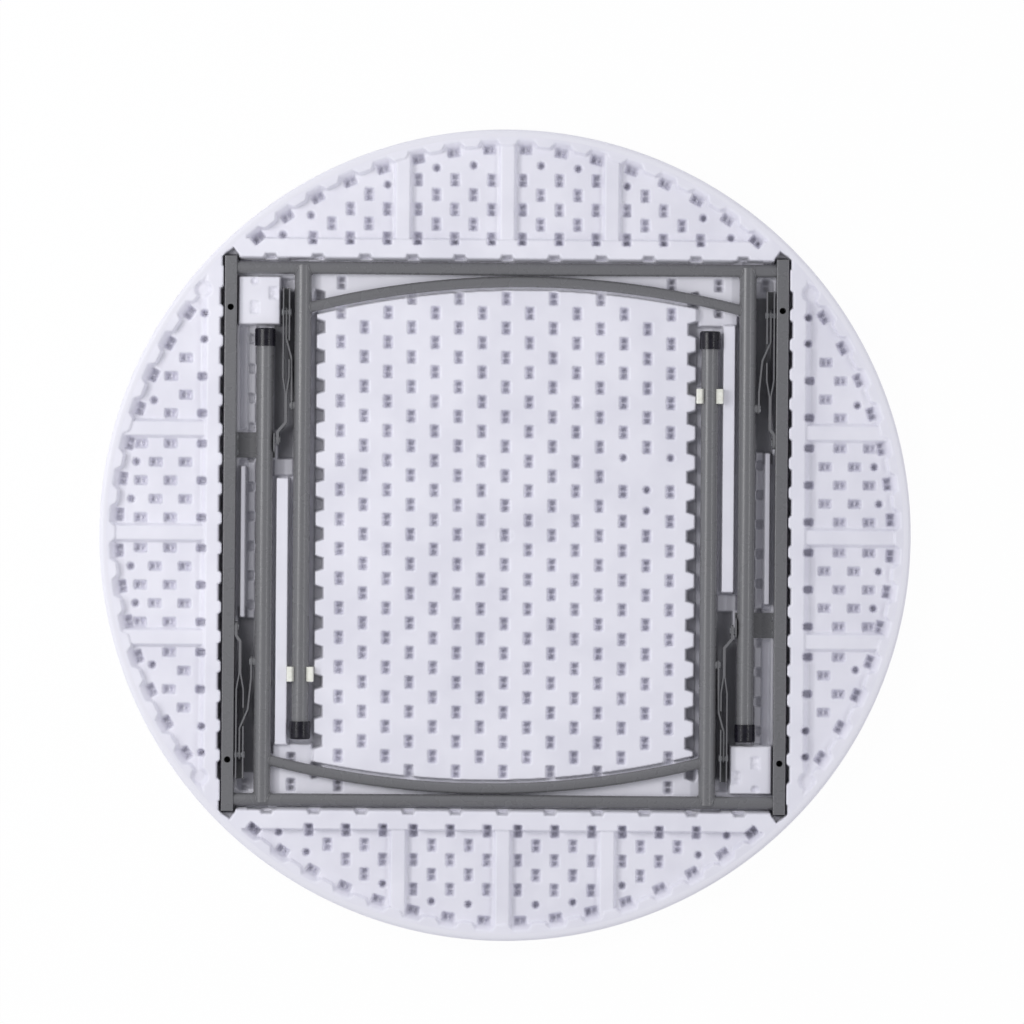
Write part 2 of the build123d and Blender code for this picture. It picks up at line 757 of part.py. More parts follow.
def stay_boss(x, side, link_offset):
    # Welded boss that stands off the leg end of a stay, coped to the post
    with BuildPart() as boss:
        reach = link_offset - link_sheet / 2 - side_gap
        stack_along_x(leg_pivot_y, hinge_height, [(x, x + side * reach, boss_diameter / 2)])
        with Locations(Location((x, leg_pivot_y, hinge_height), (quarter_turn, 0, 0))):
            Cylinder(post_radius, boss_diameter + overrun, mode=Mode.SUBTRACT)
    return boss.part


def stay_fork(x, side, knee, half_gap, eye, eye_joggle):
    # Pressed fork: two plates that meet towards the table pivot, with a web at the tail
    def place(offset_out, from_knee):
        return (x + side * offset_out, knee_y - from_knee)

    last = fork_reach + fork_eye_width / 2
    with BuildPart() as fork:
        for plate_side in (-1, 1):
            with BuildSketch(Plane.XY.offset(hinge_height - fork_width / 2)):
                with BuildLine():
                    FilletPolyline(
                        place(knee + plate_side * half_gap, -tail_past_knee),
                        place(knee + plate_side * half_gap, plates_part_from_knee),
                        place(knee, plates_meet_from_knee),
                        place(knee, fork_reach - eye_flat - eye_joggle),
                        place(eye, fork_reach - eye_flat),
                        place(eye, last),
                        radius=bend_radius,
                    )
                    outward = Side.LEFT if plate_side * side > 0 else Side.RIGHT
                    offset(amount=fork_sheet, side=outward)
                make_face()
            extrude(amount=fork_width)
        # Web that closes the tail on its table side
        web_low = hinge_height - link_width / 2 - stop_gap - fork_sheet
        with BuildSketch(Plane.XY.offset(web_low)):
            with Locations(place(knee, -tail_past_knee + web_length / 2)):
                Rectangle(2 * half_gap + fork_sheet, web_length)
        extrude(amount=fork_sheet)
        # Side outline: full width at the knee, narrowing to the eye
        with BuildSketch(Plane.YZ.offset(x)):
            half_width, half_eye = fork_width / 2, fork_eye_width / 2
            with BuildLine():
                Polyline(
                    (knee_y + tail_past_knee, hinge_height - half_width),
                    (knee_y + tail_past_knee, hinge_height + half_width),
                    (knee_y - plates_part_from_knee, hinge_height + half_width),
                    (table_pivot_y, hinge_height + half_eye),
                    (table_pivot_y, hinge_height - half_eye),
                    (knee_y - plates_part_from_knee, hinge_height - half_width),
                    close=True,
                )
            outline = make_face()
            fillet(outline.vertices().group_by(Axis.X)[-1], radius=fork_corner)
            with Locations((table_pivot_y, hinge_height)):
                Circle(half_eye)
        extrude(amount=2 * outer_seat, both=True, mode=Mode.INTERSECT)
        # Notch in the inner plate where the folded link steps across it
        notch_start = joggle_start + notch_margin
        notch_end = joggle_end + notch_margin
        notch_low = hinge_height - link_width / 2 - stop_gap
        with BuildSketch(Plane.XY.offset(notch_low)):
            with Locations(place(knee - half_gap - fork_sheet / 2, (notch_start + notch_end) / 2)):
                Rectangle(2 * fork_sheet, notch_end - notch_start)
        extrude(amount=fork_width, mode=Mode.SUBTRACT)
        for y in (knee_y, table_pivot_y):
            gap = running_gap if y == table_pivot_y else seat_gap
            with Locations(Location((x + side * knee, y, hinge_height), across)):
                Cylinder(rivet_radius + gap, 2 * outer_seat, mode=Mode.SUBTRACT)
    return fork.part


def knee_rivet(x, side, knee, half_gap):
    # Rivet through both plates, with shoulders that keep the link in the middle
    plate_out = half_gap + fork_sheet
    link_side = link_sheet / 2 + side_gap
    middle = x + side * knee
    with BuildPart() as rivet:
        stack_along_x(
            knee_y,
            hinge_height,
            [
                (middle - plate_out - rivet_head_height, middle - plate_out, rivet_head_diameter / 2),
                (middle - plate_out, middle + plate_out, rivet_radius),
                (middle - half_gap, middle - link_side, rivet_shoulder_diameter / 2),
                (middle + link_side, middle + half_gap, rivet_shoulder_diameter / 2),
                (middle + plate_out, middle + plate_out + rivet_head_height, rivet_head_diameter / 2),
            ],
        )
    return rivet.part


def stay_link(x, side, knee, joggle, leg_end):
    # Flat bar that steps sideways from the middle of the fork to the side of the post
    def place(offset_out, from_knee):
        return (x + side * offset_out, knee_y - from_knee)

    half_width = link_width / 2
    half_sheet = link_sheet / 2
    with BuildPart() as link:
        with BuildSketch(Plane.XY.offset(hinge_height - half_width)):
            with BuildLine():
                FilletPolyline(
                    place(knee - half_sheet, -half_width),
                    place(knee - half_sheet, joggle_start),
                    place(joggle - half_sheet, joggle_end),
                    place(leg_end - half_sheet, link_reach - link_flat),
                    place(leg_end - half_sheet, link_reach + half_width),
                    radius=bend_radius,
                )
                offset(amount=link_sheet, side=Side.LEFT if side > 0 else Side.RIGHT)
            make_face()
        extrude(amount=link_width)
        with BuildSketch(Plane.YZ.offset(x)):
            with Locations((knee_y - link_reach / 2, hinge_height)):
                SlotCenterToCenter(link_reach, link_width)
        extrude(amount=2 * outer_seat, both=True, mode=Mode.INTERSECT)
        with Locations(Location((x + side * knee, knee_y, hinge_height), across)):
            Cylinder(rivet_radius + running_gap, overrun, mode=Mode.SUBTRACT)
        with Locations(Location((x + side * leg_end, leg_pivot_y, hinge_height), across)):
            Cylinder(rivet_radius + seat_gap, overrun, mode=Mode.SUBTRACT)
    return link.part


def leg_end_rivet(x, side, leg_end):
    with BuildPart() as rivet:
        near_face = x + side * (leg_end - link_sheet / 2)
        far_face = x + side * (leg_end + link_sheet / 2)
        head_face = far_face + side * rivet_head_height
        steps = [
            (near_face, far_face, rivet_radius),
            (far_face, head_face, rivet_head_diameter / 2),
        ]
        stack_along_x(leg_pivot_y, hinge_height, steps)
    return rivet.part


outer = dict(x=right_post_x, side=1)
inner = dict(x=left_post_x, side=-1)
keep_pair("far_boss_right", "near_boss_left", stay_boss(**outer, link_offset=outer_link_offset))
keep_pair("far_boss_left", "near_boss_right", stay_boss(**inner, link_offset=inner_link_offset))
outer_fork = stay_fork(
    **outer,
    knee=outer_knee_offset,
    half_gap=outer_half_gap,
    eye=outer_eye_offset,
    eye_joggle=outer_eye_joggle,
)
inner_fork = stay_fork(
    **inner,
    knee=inner_knee_offset,
    half_gap=inner_half_gap,
    eye=inner_eye_offset,
    eye_joggle=inner_eye_joggle,
)
keep_pair("far_right_fork", "near_left_fork", outer_fork)
keep_pair("far_left_fork", "near_right_fork", inner_fork)
outer_knee = knee_rivet(**outer, knee=outer_knee_offset, half_gap=outer_half_gap)
inner_knee = knee_rivet(**inner, knee=inner_knee_offset, half_gap=inner_half_gap)
keep_pair("far_right_knee_rivet", "near_left_knee_rivet", outer_knee)
keep_pair("far_left_knee_rivet", "near_right_knee_rivet", inner_knee)
outer_link = stay_link(
    **outer, knee=outer_knee_offset, joggle=outer_joggle_offset, leg_end=outer_link_offset
)
inner_link = stay_link(
    **inner, knee=inner_knee_offset, joggle=inner_joggle_offset, leg_end=inner_link_offset
)
keep_pair("far_right_link", "near_left_link", outer_link)
keep_pair("far_left_link", "near_right_link", inner_link)
keep_pair("far_right_leg_rivet", "near_left_leg_rivet", leg_end_rivet(**outer, leg_end=outer_link_offset))
keep_pair("far_left_leg_rivet", "near_right_leg_rivet", leg_end_rivet(**inner, leg_end=inner_link_offset))

os.makedirs("parts", exist_ok=True)
for name, part in parts.items():
    export_step(part, f"parts/{name}.step")
print("pieces", len(parts))
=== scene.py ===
import json
import math

import bpy
import numpy as np
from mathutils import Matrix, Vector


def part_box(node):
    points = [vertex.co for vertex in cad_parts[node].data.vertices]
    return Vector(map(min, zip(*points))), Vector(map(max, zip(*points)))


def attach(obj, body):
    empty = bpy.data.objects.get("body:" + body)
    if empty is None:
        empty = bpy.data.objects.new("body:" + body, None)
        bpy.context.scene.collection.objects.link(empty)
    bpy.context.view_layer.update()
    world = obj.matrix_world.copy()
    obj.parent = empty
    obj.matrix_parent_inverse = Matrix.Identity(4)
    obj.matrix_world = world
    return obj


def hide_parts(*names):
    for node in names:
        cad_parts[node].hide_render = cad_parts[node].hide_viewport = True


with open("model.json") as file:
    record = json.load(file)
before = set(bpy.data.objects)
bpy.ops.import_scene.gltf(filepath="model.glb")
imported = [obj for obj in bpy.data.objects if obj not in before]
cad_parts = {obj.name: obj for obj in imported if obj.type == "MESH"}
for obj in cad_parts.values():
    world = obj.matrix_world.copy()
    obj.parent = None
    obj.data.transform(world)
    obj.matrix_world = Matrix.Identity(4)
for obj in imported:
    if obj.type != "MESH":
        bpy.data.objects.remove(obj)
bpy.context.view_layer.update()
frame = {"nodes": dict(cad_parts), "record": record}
nodes = frame["nodes"]
scene = bpy.context.scene
mm = 0.001
print("frame loaded with", len(nodes), "nodes")


def hexColour(code):
    # sRGB hex such as "e8e7ef", turned to linear red, green, blue and alpha
    shares = [int(code[i:i + 2], 16) / 255 for i in (0, 2, 4)]
    return [s / 12.92 if s <= 0.04045 else ((s + 0.055) / 1.055) ** 2.4 for s in shares] + [1.0]


def addNode(tree, kind, settings=(), inputs=(), links=()):
    # One shader node: its own settings, the values of its sockets, and what feeds them
    node = tree.nodes.new(kind)
    for key, value in dict(settings).items():
        setattr(node, key, value)
    for key, value in dict(inputs).items():
        node.inputs[key].default_value = value
    for key, (source, output) in dict(links).items():
        tree.links.new(source.outputs[output], node.inputs[key])
    return node


def newMaterial(name):
    # An empty node tree with its Principled shader and output already joined
    material = bpy.data.materials.new(name)
    material.use_nodes = True
    tree = material.node_tree
    tree.nodes.clear()
    shader = addNode(tree, "ShaderNodeBsdfPrincipled")
    addNode(tree, "ShaderNodeOutputMaterial", links={"Surface": (shader, "BSDF")})
    return material, tree, shader


def objectPattern(tree, size, detail=2.0, roughness=0.5):
    # Noise on Object coordinates, whose features are about size millimetres across
    place = addNode(tree, "ShaderNodeTexCoord")
    return addNode(
        tree,
        "ShaderNodeTexNoise",
        inputs={"Scale": 1 / (size * mm), "Detail": detail, "Roughness": roughness},
        links={"Vector": (place, "Object")},
    )


def mixColours(tree, shader, noise, finish):
    # Base colour: the finish's two colours, mixed by a noise between two stops
    ramp = addNode(tree, "ShaderNodeValToRGB", links={"Fac": (noise, "Fac")})
    for element, place, code in zip(ramp.color_ramp.elements, finish["stops"], finish["colours"]):
        element.position = place
        element.color = hexColour(code)
    tree.links.new(ramp.outputs["Color"], shader.inputs["Base Color"])
    return ramp


noiseSpan = (0.3, 0.7)          # where most values of a noise lie


def varySheen(tree, shader, noise, finish):
    # Roughness: between the finish's two values, as a noise goes over its span
    limits = dict(zip(("From Min", "From Max", "To Min", "To Max"), noiseSpan + finish["roughness"]))
    sheen = addNode(tree, "ShaderNodeMapRange", inputs=limits, links={"Value": (noise, "Fac")})
    tree.links.new(sheen.outputs["Result"], shader.inputs["Roughness"])


def addRelief(tree, shader, layers):
    # Bumps one over the other; layers are (noise node, height in millimetres)
    last = None
    for noise, height in layers:
        links = {"Height": (noise, "Fac")}
        if last:
            links["Normal"] = (last, "Normal")
        last = addNode(tree, "ShaderNodeBump", inputs={"Strength": 1.0, "Distance": height * mm}, links=links)
    tree.links.new(last.outputs["Normal"], shader.inputs["Normal"])


def makeMesh(name, points, quads, triangles=None):
    # Points in metres, and faces as rows of point numbers, put straight into a smooth mesh
    triangles = np.zeros((0, 3), int) if triangles is None else triangles
    mesh = bpy.data.meshes.new(name)
    mesh.vertices.add(len(points))
    mesh.vertices.foreach_set("co", np.asarray(points, np.float32).ravel())
    corners = np.concatenate([quads.ravel(), triangles.ravel()])
    sides = np.concatenate([np.full(len(quads), 4), np.full(len(triangles), 3)])
    mesh.loops.add(len(corners))
    mesh.loops.foreach_set("vertex_index", corners.astype(np.int32))
    mesh.polygons.add(len(sides))
    mesh.polygons.foreach_set("loop_start", (np.cumsum(sides) - sides).astype(np.int32))
    mesh.polygons.foreach_set("use_smooth", np.ones(len(sides), bool))
    mesh.update(calc_edges=True)
    mesh.validate()
    return mesh


def addPiece(name, mesh, material, body):
    # A mesh as a piece of the scene, with its material and the body that it rides
    piece = bpy.data.objects.new(name, mesh)
    scene.collection.objects.link(piece)
    mesh.materials.append(material)
    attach(piece, body)
    return piece


def gridQuads(rows, columns, wrapRows=False, wrapColumns=False):
    # Faces of a grid of points numbered row by row
    rowSteps = np.arange(rows if wrapRows else rows - 1)
    columnSteps = np.arange(columns if wrapColumns else columns - 1)
    i, j = np.meshgrid(rowSteps, columnSteps, indexing="ij")
    below, right = (i + 1) % rows, (j + 1) % columns
    corners = [(i, j), (i, right), (below, right), (below, j)]
    return np.stack([(a * columns + b).ravel() for a, b in corners], axis=1)


def soft(distance, run):
    # Smooth step t * t * (3 - 2 * t), from 0 to 1 over a run that is centred on the outline
    t = np.clip(distance / run + 0.5, 0, 1)
    return t * t * (3 - 2 * t)


# Materials

# Sizes of patterns and heights of their relief are in millimetres
# Its dark grey is painted shade for the bays, pockets, notches and corner recesses
hdpe = {"colours": ("e6e5ee", "eeedf5"), "stops": (0.35, 0.62), "mottle": 90.0, "mottleDetail": 3.0,
        "shadeColour": "3a3a40", "roughness": (0.36, 0.48), "sheen": 14.0, "ior": 1.52,
        "grain": 1.1, "grainDetail": 3.0, "grainHeight": 0.05,
        "sink": 38.0, "sinkDetail": 1.0, "sinkHeight": 0.35}


def mouldedPolyethylene():
    # Blow-moulded HDPE: waxy, slightly violet white, with fine grain and soft sink marks; painted shade greys
    # it deep in the leg bays, pockets and notches
    material, tree, shader = newMaterial("blow_moulded_hdpe")
    colour = mixColours(tree, shader, objectPattern(tree, hdpe["mottle"], detail=hdpe["mottleDetail"]), hdpe)
    # Painted shade: a share stored on the points mixes in a dark grey deep in the bays, pockets and notches
    shadeShare = addNode(tree, "ShaderNodeAttribute", {"attribute_name": "paintedShade"})
    shadedColour = addNode(
        tree,
        "ShaderNodeMix",
        settings={"data_type": "RGBA"},
        inputs={7: hexColour(hdpe["shadeColour"])},
        links={0: (shadeShare, "Fac"), 6: (colour, "Color")},
    )
    tree.links.new(shadedColour.outputs[2], shader.inputs["Base Color"])
    varySheen(tree, shader, objectPattern(tree, hdpe["sheen"]), hdpe)
    shader.inputs["IOR"].default_value = hdpe["ior"]
    grain = objectPattern(tree, hdpe["grain"], detail=hdpe["grainDetail"])
    sink = objectPattern(tree, hdpe["sink"], detail=hdpe["sinkDetail"])
    addRelief(tree, shader, [(sink, hdpe["sinkHeight"]), (grain, hdpe["grainHeight"])])
    return material


playFace = {"base": "ecebf2", "roughness": (0.4, 0.52), "sheen": 20.0, "ior": 1.52,
            "pebble": 1.6, "pebbleSmoothness": 0.6, "pebbleHeight": 0.12}


def pebbledPolyethylene():
    # The play face and the outer wall: the same plastic off a pebbled die, drawn a little coarser than real
    material, tree, shader = newMaterial("pebbled_hdpe")
    shader.inputs["Base Color"].default_value = hexColour(playFace["base"])
    varySheen(tree, shader, objectPattern(tree, playFace["sheen"]), playFace)
    shader.inputs["IOR"].default_value = playFace["ior"]
    place = addNode(tree, "ShaderNodeTexCoord")
    pebble = addNode(
        tree,
        "ShaderNodeTexVoronoi",
        settings={"feature": "SMOOTH_F1"},
        inputs={"Scale": 1 / (playFace["pebble"] * mm), "Smoothness": playFace["pebbleSmoothness"]},
        links={"Vector": (place, "Object")},
    )
    bump = addNode(
        tree,
        "ShaderNodeBump",
        inputs={"Strength": 1.0, "Distance": playFace["pebbleHeight"] * mm},
        links={"Height": (pebble, "Distance")},
    )
    tree.links.new(bump.outputs["Normal"], shader.inputs["Normal"])
    return material


powder = {"colours": ("6d6d6f", "727274"), "stops": (0.38, 0.55), "fleck": 1.4, "fleckDetail": 4.0,
          "roughness": (0.25, 0.3), "sheen": 26.0, "ior": 1.5,
          "peel": 2.2, "peelDetail": 1.0, "peelHeight": 0.012}


def powderCoat():
    # Baked powder coat on steel tube: even satin grey with a faint orange peel
    material, tree, shader = newMaterial("grey_powder_coat_steel")
    mixColours(tree, shader, objectPattern(tree, powder["fleck"], detail=powder["fleckDetail"]), powder)
    varySheen(tree, shader, objectPattern(tree, powder["sheen"]), powder)
    shader.inputs["IOR"].default_value = powder["ior"]
    peel = objectPattern(tree, powder["peel"], detail=powder["peelDetail"])
    addRelief(tree, shader, [(peel, powder["peelHeight"])])
    return material


zinc = {"colours": ("909194", "b4b5b6"), "stops": (0.35, 0.65), "roughness": (0.32, 0.5), "spangle": 3.0}


def zincPlate():
    # Bright zinc on small fasteners, with dull patches
    material, tree, shader = newMaterial("zinc_plated_steel")
    patch = objectPattern(tree, zinc["spangle"])
    mixColours(tree, shader, patch, zinc)
    varySheen(tree, shader, patch, zinc)
    shader.inputs["Metallic"].default_value = 1.0
    return material


capPlastic = {"colours": ("100e18", "1b1924"), "stops": (0.45, 0.75), "scuff": 9.0, "scuffDetail": 5.0,
              "roughness": (0.24, 0.32), "ior": 1.51, "specular": 0.36, "grain": 0.9, "grainHeight": 0.04}


def blackPolyethylene():
    # Injection-moulded foot caps: nearly black with a blue cast, satin and finely grained
    material, tree, shader = newMaterial("black_moulded_polyethylene")
    scuff = objectPattern(tree, capPlastic["scuff"], detail=capPlastic["scuffDetail"])
    mixColours(tree, shader, scuff, capPlastic)
    varySheen(tree, shader, scuff, capPlastic)
    shader.inputs["IOR"].default_value = capPlastic["ior"]
    shader.inputs["Specular IOR Level"].default_value = capPlastic["specular"]
    addRelief(tree, shader, [(objectPattern(tree, capPlastic["grain"]), capPlastic["grainHeight"])])
    return material


clipPlastic = {"colours": ("e4e5d8", "f2f2e8"), "stops": (0.3, 0.6), "flow": 6.0, "flowDetail": 3.0,
               "roughness": (0.34, 0.46), "ior": 1.53, "grain": 1.5, "grainHeight": 0.03}


def creamNylon():
    # Snap clips: cream nylon, smooth with faint flow marks
    material, tree, shader = newMaterial("cream_nylon")
    flow = objectPattern(tree, clipPlastic["flow"], detail=clipPlastic["flowDetail"])
    mixColours(tree, shader, flow, clipPlastic)
    varySheen(tree, shader, flow, clipPlastic)
    shader.inputs["IOR"].default_value = clipPlastic["ior"]
    addRelief(tree, shader, [(objectPattern(tree, clipPlastic["grain"]), clipPlastic["grainHeight"])])
    return material


blackOxide = {"colours": ("1e1e20", "303032"), "stops": (0.45, 0.7), "patch": 2.0, "patchDetail": 3.0,
              "roughness": (0.4, 0.55), "metallic": 0.6}


def blackenedSteel():
    # Rail screws: black oxide over steel, dull, with lighter rubbed patches
    material, tree, shader = newMaterial("black_oxide_steel")
    rubbed = objectPattern(tree, blackOxide["patch"], detail=blackOxide["patchDetail"])
    mixColours(tree, shader, rubbed, blackOxide)
    varySheen(tree, shader, rubbed, blackOxide)
    shader.inputs["Metallic"].default_value = blackOxide["metallic"]
    return material


hdpeMaterial = mouldedPolyethylene()
playFaceMaterial = pebbledPolyethylene()
finishes = {
    "white_hdpe": hdpeMaterial,
    "grey_powder_coat": powderCoat(),
    "zinc_fastener": zincPlate(),
    "black_cap": blackPolyethylene(),
    "cream_clip": creamNylon(),
}
slotOfNode = {part["node"]: part["material_slot"] for part in frame["record"]["subparts"]}
for nodeName, node in nodes.items():
    node.data.materials.clear()
    node.data.materials.append(finishes[slotOfNode[nodeName]])
nodes["rail_screws"].data.materials[0] = blackenedSteel()
print("materials made and put on the frame")

# Underside of the tabletop: one height for each place (x, y), in millimetres

topLow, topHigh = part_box("tabletop")
quarterCircle = 90.0
nowhere = -99.0          # a distance outside that no outline's run reaches
# Lengths in millimetres and notchPitch in degrees; a run is the width of a soft step between two levels
top = {
    "radius": (topHigh.x - topLow.x) / 2 / mm,
    "rimHeight": topHigh.z / mm,
    "panelHeight": 28.0, "floorHeight": 12.0, "ribHeight": 40.0,
    "gridStep": 1.5, "joinRadius": 598.5, "blockEdge": 200.0,
    "channelX": 424.8, "channelY": 414.6, "channelRun": 3.0, "notchEdge": 5.0, "notchOverlap": 2.0,
    "bandX": 453.4, "bandY": 444.0, "bandRunX": 10.0, "bandRunY": 3.5,
    "toothRadius": 582.0, "toothRun": 4.0, "notchRadius": 585.0, "notchRun": 11.0, "notchPitch": 5.35,
    "notchesPerField": 16, "notchMouth": 30.0, "notchBlend": 9.0,
    "ribPitch": 157.0, "ribWidth": 24.0, "ribRun": 5.0,
    "panelHalfWidth": 286.0, "archRadius": 1302.0, "archGap": 4.0, "legOffset": 28.2, "postReach": 334.5,
    "cornerX": 414.6, "cornerHalf": 12.0, "cornerShift": 4.0, "cornerStraight": 418.0, "cornerPeak": 428.5,
    # The corner recesses get a share of painted shade as well as their floor height
    "cornerFloor": 28.0, "cornerShade": 0.4, "cornerSpread": 1.0, "cornerRun": 2.0, "cornerReach": 596.0,
    "discRadius": 13.0, "discWidth": 2.0, "discRun": 1.6, "discDepth": 0.7,
    "lobeX": 456.0, "lobeY": 366.0, "lobeRadius": 11.0, "lobeRun": 8.0, "lobeFloor": 35.0,
    "tipY": 346.0, "tipRun": 22.0,
}

# Floor levels in the channel: deep in the leg bays, deepest under the stays, shallow between the posts at
# each end, and the ledge at the foot of the far and near walls
levels = {
    "bay": 5.0, "stay": 3.0, "zone": 17.0, "ledge": 27.0, "run": 4.0,
    "bayFrom": 284.0, "bayTo": 401.0, "bayEnd": 384.0, "zoneInset": 7.0, "zonePastArch": 2.0,
    "ledgeFrom": 411.5, "ledgeFromPost": 22.0, "ledgeTo": 402.0, "ledgeRun": 2.0,
}
# How strongly painted shade darkens the plastic there, from 0 to 1
shadeByPlace = {"bay": 0.12, "stay": 0.77, "seat": 0.35, "ridge": 0.38, "notch": 0.5}

# Boxes in the floor, as middle x, middle y, size across and size along, each repeated by half a turn: where
# the stays fold, the plain seats of strap and clip, and the pale shelf past the right inner post's cap
staySlots = [(-334.5, 237.5, 31.0, 255.0), (-390.0, -235.0, 28.0, 250.0)]
seats = [(-376.0, 133.0, 66.0, 46.0), (-306.3, -211.0, 44.0, 30.0), (-334.5, 100.0, 31.0, 26.0),
         (-382.0, 92.0, 13.0, 440.0)]
pastCap, pastCapCorner = (315.5, 351.0, 66.0, 70.0), 3.0
# What stands in the left bay, and given half a turn in the right one: strip, ridge and block
leftBay = {"strip": (-335.2, -117.0, 19.4, 402.0), "ridge": (-394.5, -12.5, 9.0, 229.0),
           "block": (-372.0, 350.5, 64.0, 73.0)}
leftBayCorner = 2.0

# Notches as pitch, how many, depth into the wall, width at the mouth and at the end, and height of the floor
longNotch = {"pitch": 71.0, "count": 11, "depth": 5.0, "mouth": 19.0, "end": 13.5, "floor": 20.0}
sideNotch = {"pitch": 44.5, "count": 17, "depth": 4.0, "mouth": 30.0, "end": 22.0, "floor": 5.0}
panelNotch = {"pitch": 44.5, "count": 17, "depth": 12.0, "mouth": 23.0, "end": 15.0, "floor": 7.0}

# Pockets, with the height of their floor where they stand: panel, fields, end zones or the raised block
pair = {
    "across": 12.6, "along": 18.5, "corner": 2.0, "mouthRun": 3.6, "ridgeShare": 0.55,
    "cellAcross": 7.2, "cellAlong": 6.2, "cellShift": 4.6, "cellRun": 5.6,
    # The end pairs' cells get a share of painted shade, spread a little past their outline
    "floor": 8.0, "faintFloor": 23.0, "fieldFloor": 9.0, "endFloor": 1.5, "endShade": 0.45, "shadeSpread": 1.0,
}
smallPocket = {"across": 10.0, "along": 13.0, "corner": 3.0, "run": 4.5, "floor": 4.0, "fieldFloor": 9.0,
               "towardsBand": 3.0}
dimple = {"radius": 4.6, "run": 5.6, "floor": 10.0, "faintFloor": 22.0}
# Rows of pockets: in the fields, at the foot of the rim, on the panel's lattice and in the bays
rows = {
    "fieldPitch": 55.7, "rowStep": 22.2, "fieldRows": 5, "longFirst": 445.0, "longReach": 570.0,
    "sideFirst": 459.0, "sideReach": 575.0, "rimRadius": 580.5, "sideRimPairs": 14, "longRimPairs": 16,
    "columnStep": 35.5, "rowPitch": 44.5, "halfColumns": 7, "halfRows": 9, "margin": 2.0,
    "bandReach": 280.0, "bayX": 383.0, "bayMiddle": 92.2, "bayCount": 10, "window": 16.0,
}
# Single dimples of the far field and of a side field, as (along the band, away from it), which stand on both
# sides of the field's middle and in the field across the table
longDimples = [(50.7, 556.0), (106.4, 552.0), (179.8, 526.0), (295.0, 479.0), (337.0, 449.0)]
sideDimples = [(50.7, 562.5), (106.4, 555.0), (199.0, 529.0), (291.2, 453.4), (330.4, 453.4)]
# Single dimples round the plain spot, by lattice column and row, with their place along Y
spotDimples = {(5, 2.5): 117.7, (7, 2.5): 117.7, (6, 2): 69.5, (6, 1): 38.0}
endPairs = [(-8, 8), (-7, 8.5), (7, 8.5), (8, 8), (9, 7.63), (9, 8.5), (11, 8.5)]
blockPairs, blockDimple = [(-351.0, 362.0), (-379.0, 340.0)], (-379.0, 380.0)


def boxDistance(u, v, halfU, halfV, corner=0.0):
    # Distance inside a rounded rectangle's outline, positive inside: the corner's radius, less how far the
    # point lies past the corner's middle
    a, b = np.abs(u) - halfU + corner, np.abs(v) - halfV + corner
    return corner - np.hypot(np.maximum(a, 0), np.maximum(b, 0)) - np.minimum(np.maximum(a, b), 0)


def notchDistance(along, into, shape):
    # Inside of a centred row of trapezoid notches: along runs down the wall, into points into it
    middle = (shape["count"] - 1) / 2
    index = np.clip(np.round(along / shape["pitch"] + middle), 0, shape["count"] - 1) - middle
    sideways = np.abs(along - index * shape["pitch"])
    half = shape["mouth"] / 2 - (shape["mouth"] - shape["end"]) / 2 * np.clip(into / shape["depth"], 0, 1)
    return np.minimum(half - sideways, shape["depth"] - into)


def rimWall(x, y):
    # Share of the rim's height: a steep wall at each tooth, and a long slope in each notch
    radius, angle = np.hypot(x, y), np.degrees(np.arctan2(y, x))
    fromField = (angle + quarterCircle / 2) % quarterCircle - quarterCircle / 2
    half = top["notchesPerField"] / 2 - 0.5
    index = np.clip(np.round(fromField / top["notchPitch"] - 0.5) + 0.5, -half, half)
    sideways = np.radians(fromField - index * top["notchPitch"]) * radius
    notch = soft(top["notchMouth"] / 2 - np.abs(sideways), top["notchBlend"])
    start = top["toothRadius"] + (top["notchRadius"] - top["toothRadius"]) * notch
    run = top["toothRun"] + (top["notchRun"] - top["toothRun"]) * notch
    return soft(radius - start - run / 2, run)


def outerLevels(x, y):
    # Fields at panel height, with bands, ribs and rim standing out of them
    band = soft(top["bandX"] - np.abs(x), top["bandRunX"]) * soft(top["bandY"] - np.abs(y), top["bandRunY"])
    toRib = np.minimum(
        np.abs(x - top["ribPitch"] * np.clip(np.round(x / top["ribPitch"]), -1, 1)),
        np.abs(y - top["ribPitch"] * np.clip(np.round(y / top["ribPitch"]), -1, 1)),
    )
    rib = soft(top["ribWidth"] / 2 - toRib, top["ribRun"])
    # The side fields' ends rise to a shallow round lobe
    atTip = soft(np.abs(y) - top["tipY"], top["tipRun"]) * (np.abs(x) > top["bandX"] - top["bandRunX"])
    floor = top["panelHeight"] + (top["lobeFloor"] - top["panelHeight"]) * atTip
    raised = top["rimHeight"] - floor
    ribRaised = top["ribHeight"] - floor
    height = floor + np.maximum(raised * np.maximum(band, rimWall(x, y)), ribRaised * rib)
    fromLobe = np.hypot(np.abs(x) - top["lobeX"], np.abs(y) - top["lobeY"])
    lobe = soft(top["lobeRadius"] - fromLobe, top["lobeRun"])
    return height + (np.minimum(height, top["lobeFloor"]) - height) * lobe


def channelDistance(x, y):
    # Inside of the sunken channel with its pointed corner recesses, and of the notches in its walls
    inside = np.minimum(top["channelX"] - np.abs(x), top["channelY"] - np.abs(y))
    reach = np.clip((np.abs(y) - top["cornerStraight"]) / (top["cornerPeak"] - top["cornerStraight"]), 0, 1)
    middle = top["cornerX"] - top["cornerShift"] * reach
    point = np.minimum(
        top["cornerHalf"] * (1 - reach) - np.abs(np.abs(x) - middle),
        np.minimum(np.abs(y) - top["channelY"] + top["cornerHalf"], top["cornerPeak"] - np.abs(y)),
    )
    channel = np.minimum(np.maximum(inside, point), top["cornerReach"] - np.hypot(x, y))
    longCut = notchDistance(x, np.abs(y) - top["channelY"], longNotch)
    sideCut = notchDistance(y, np.abs(x) - top["channelX"], sideNotch)
    outside = top["notchOverlap"] - channel
    return channel, np.minimum(longCut, outside), np.minimum(sideCut, outside)


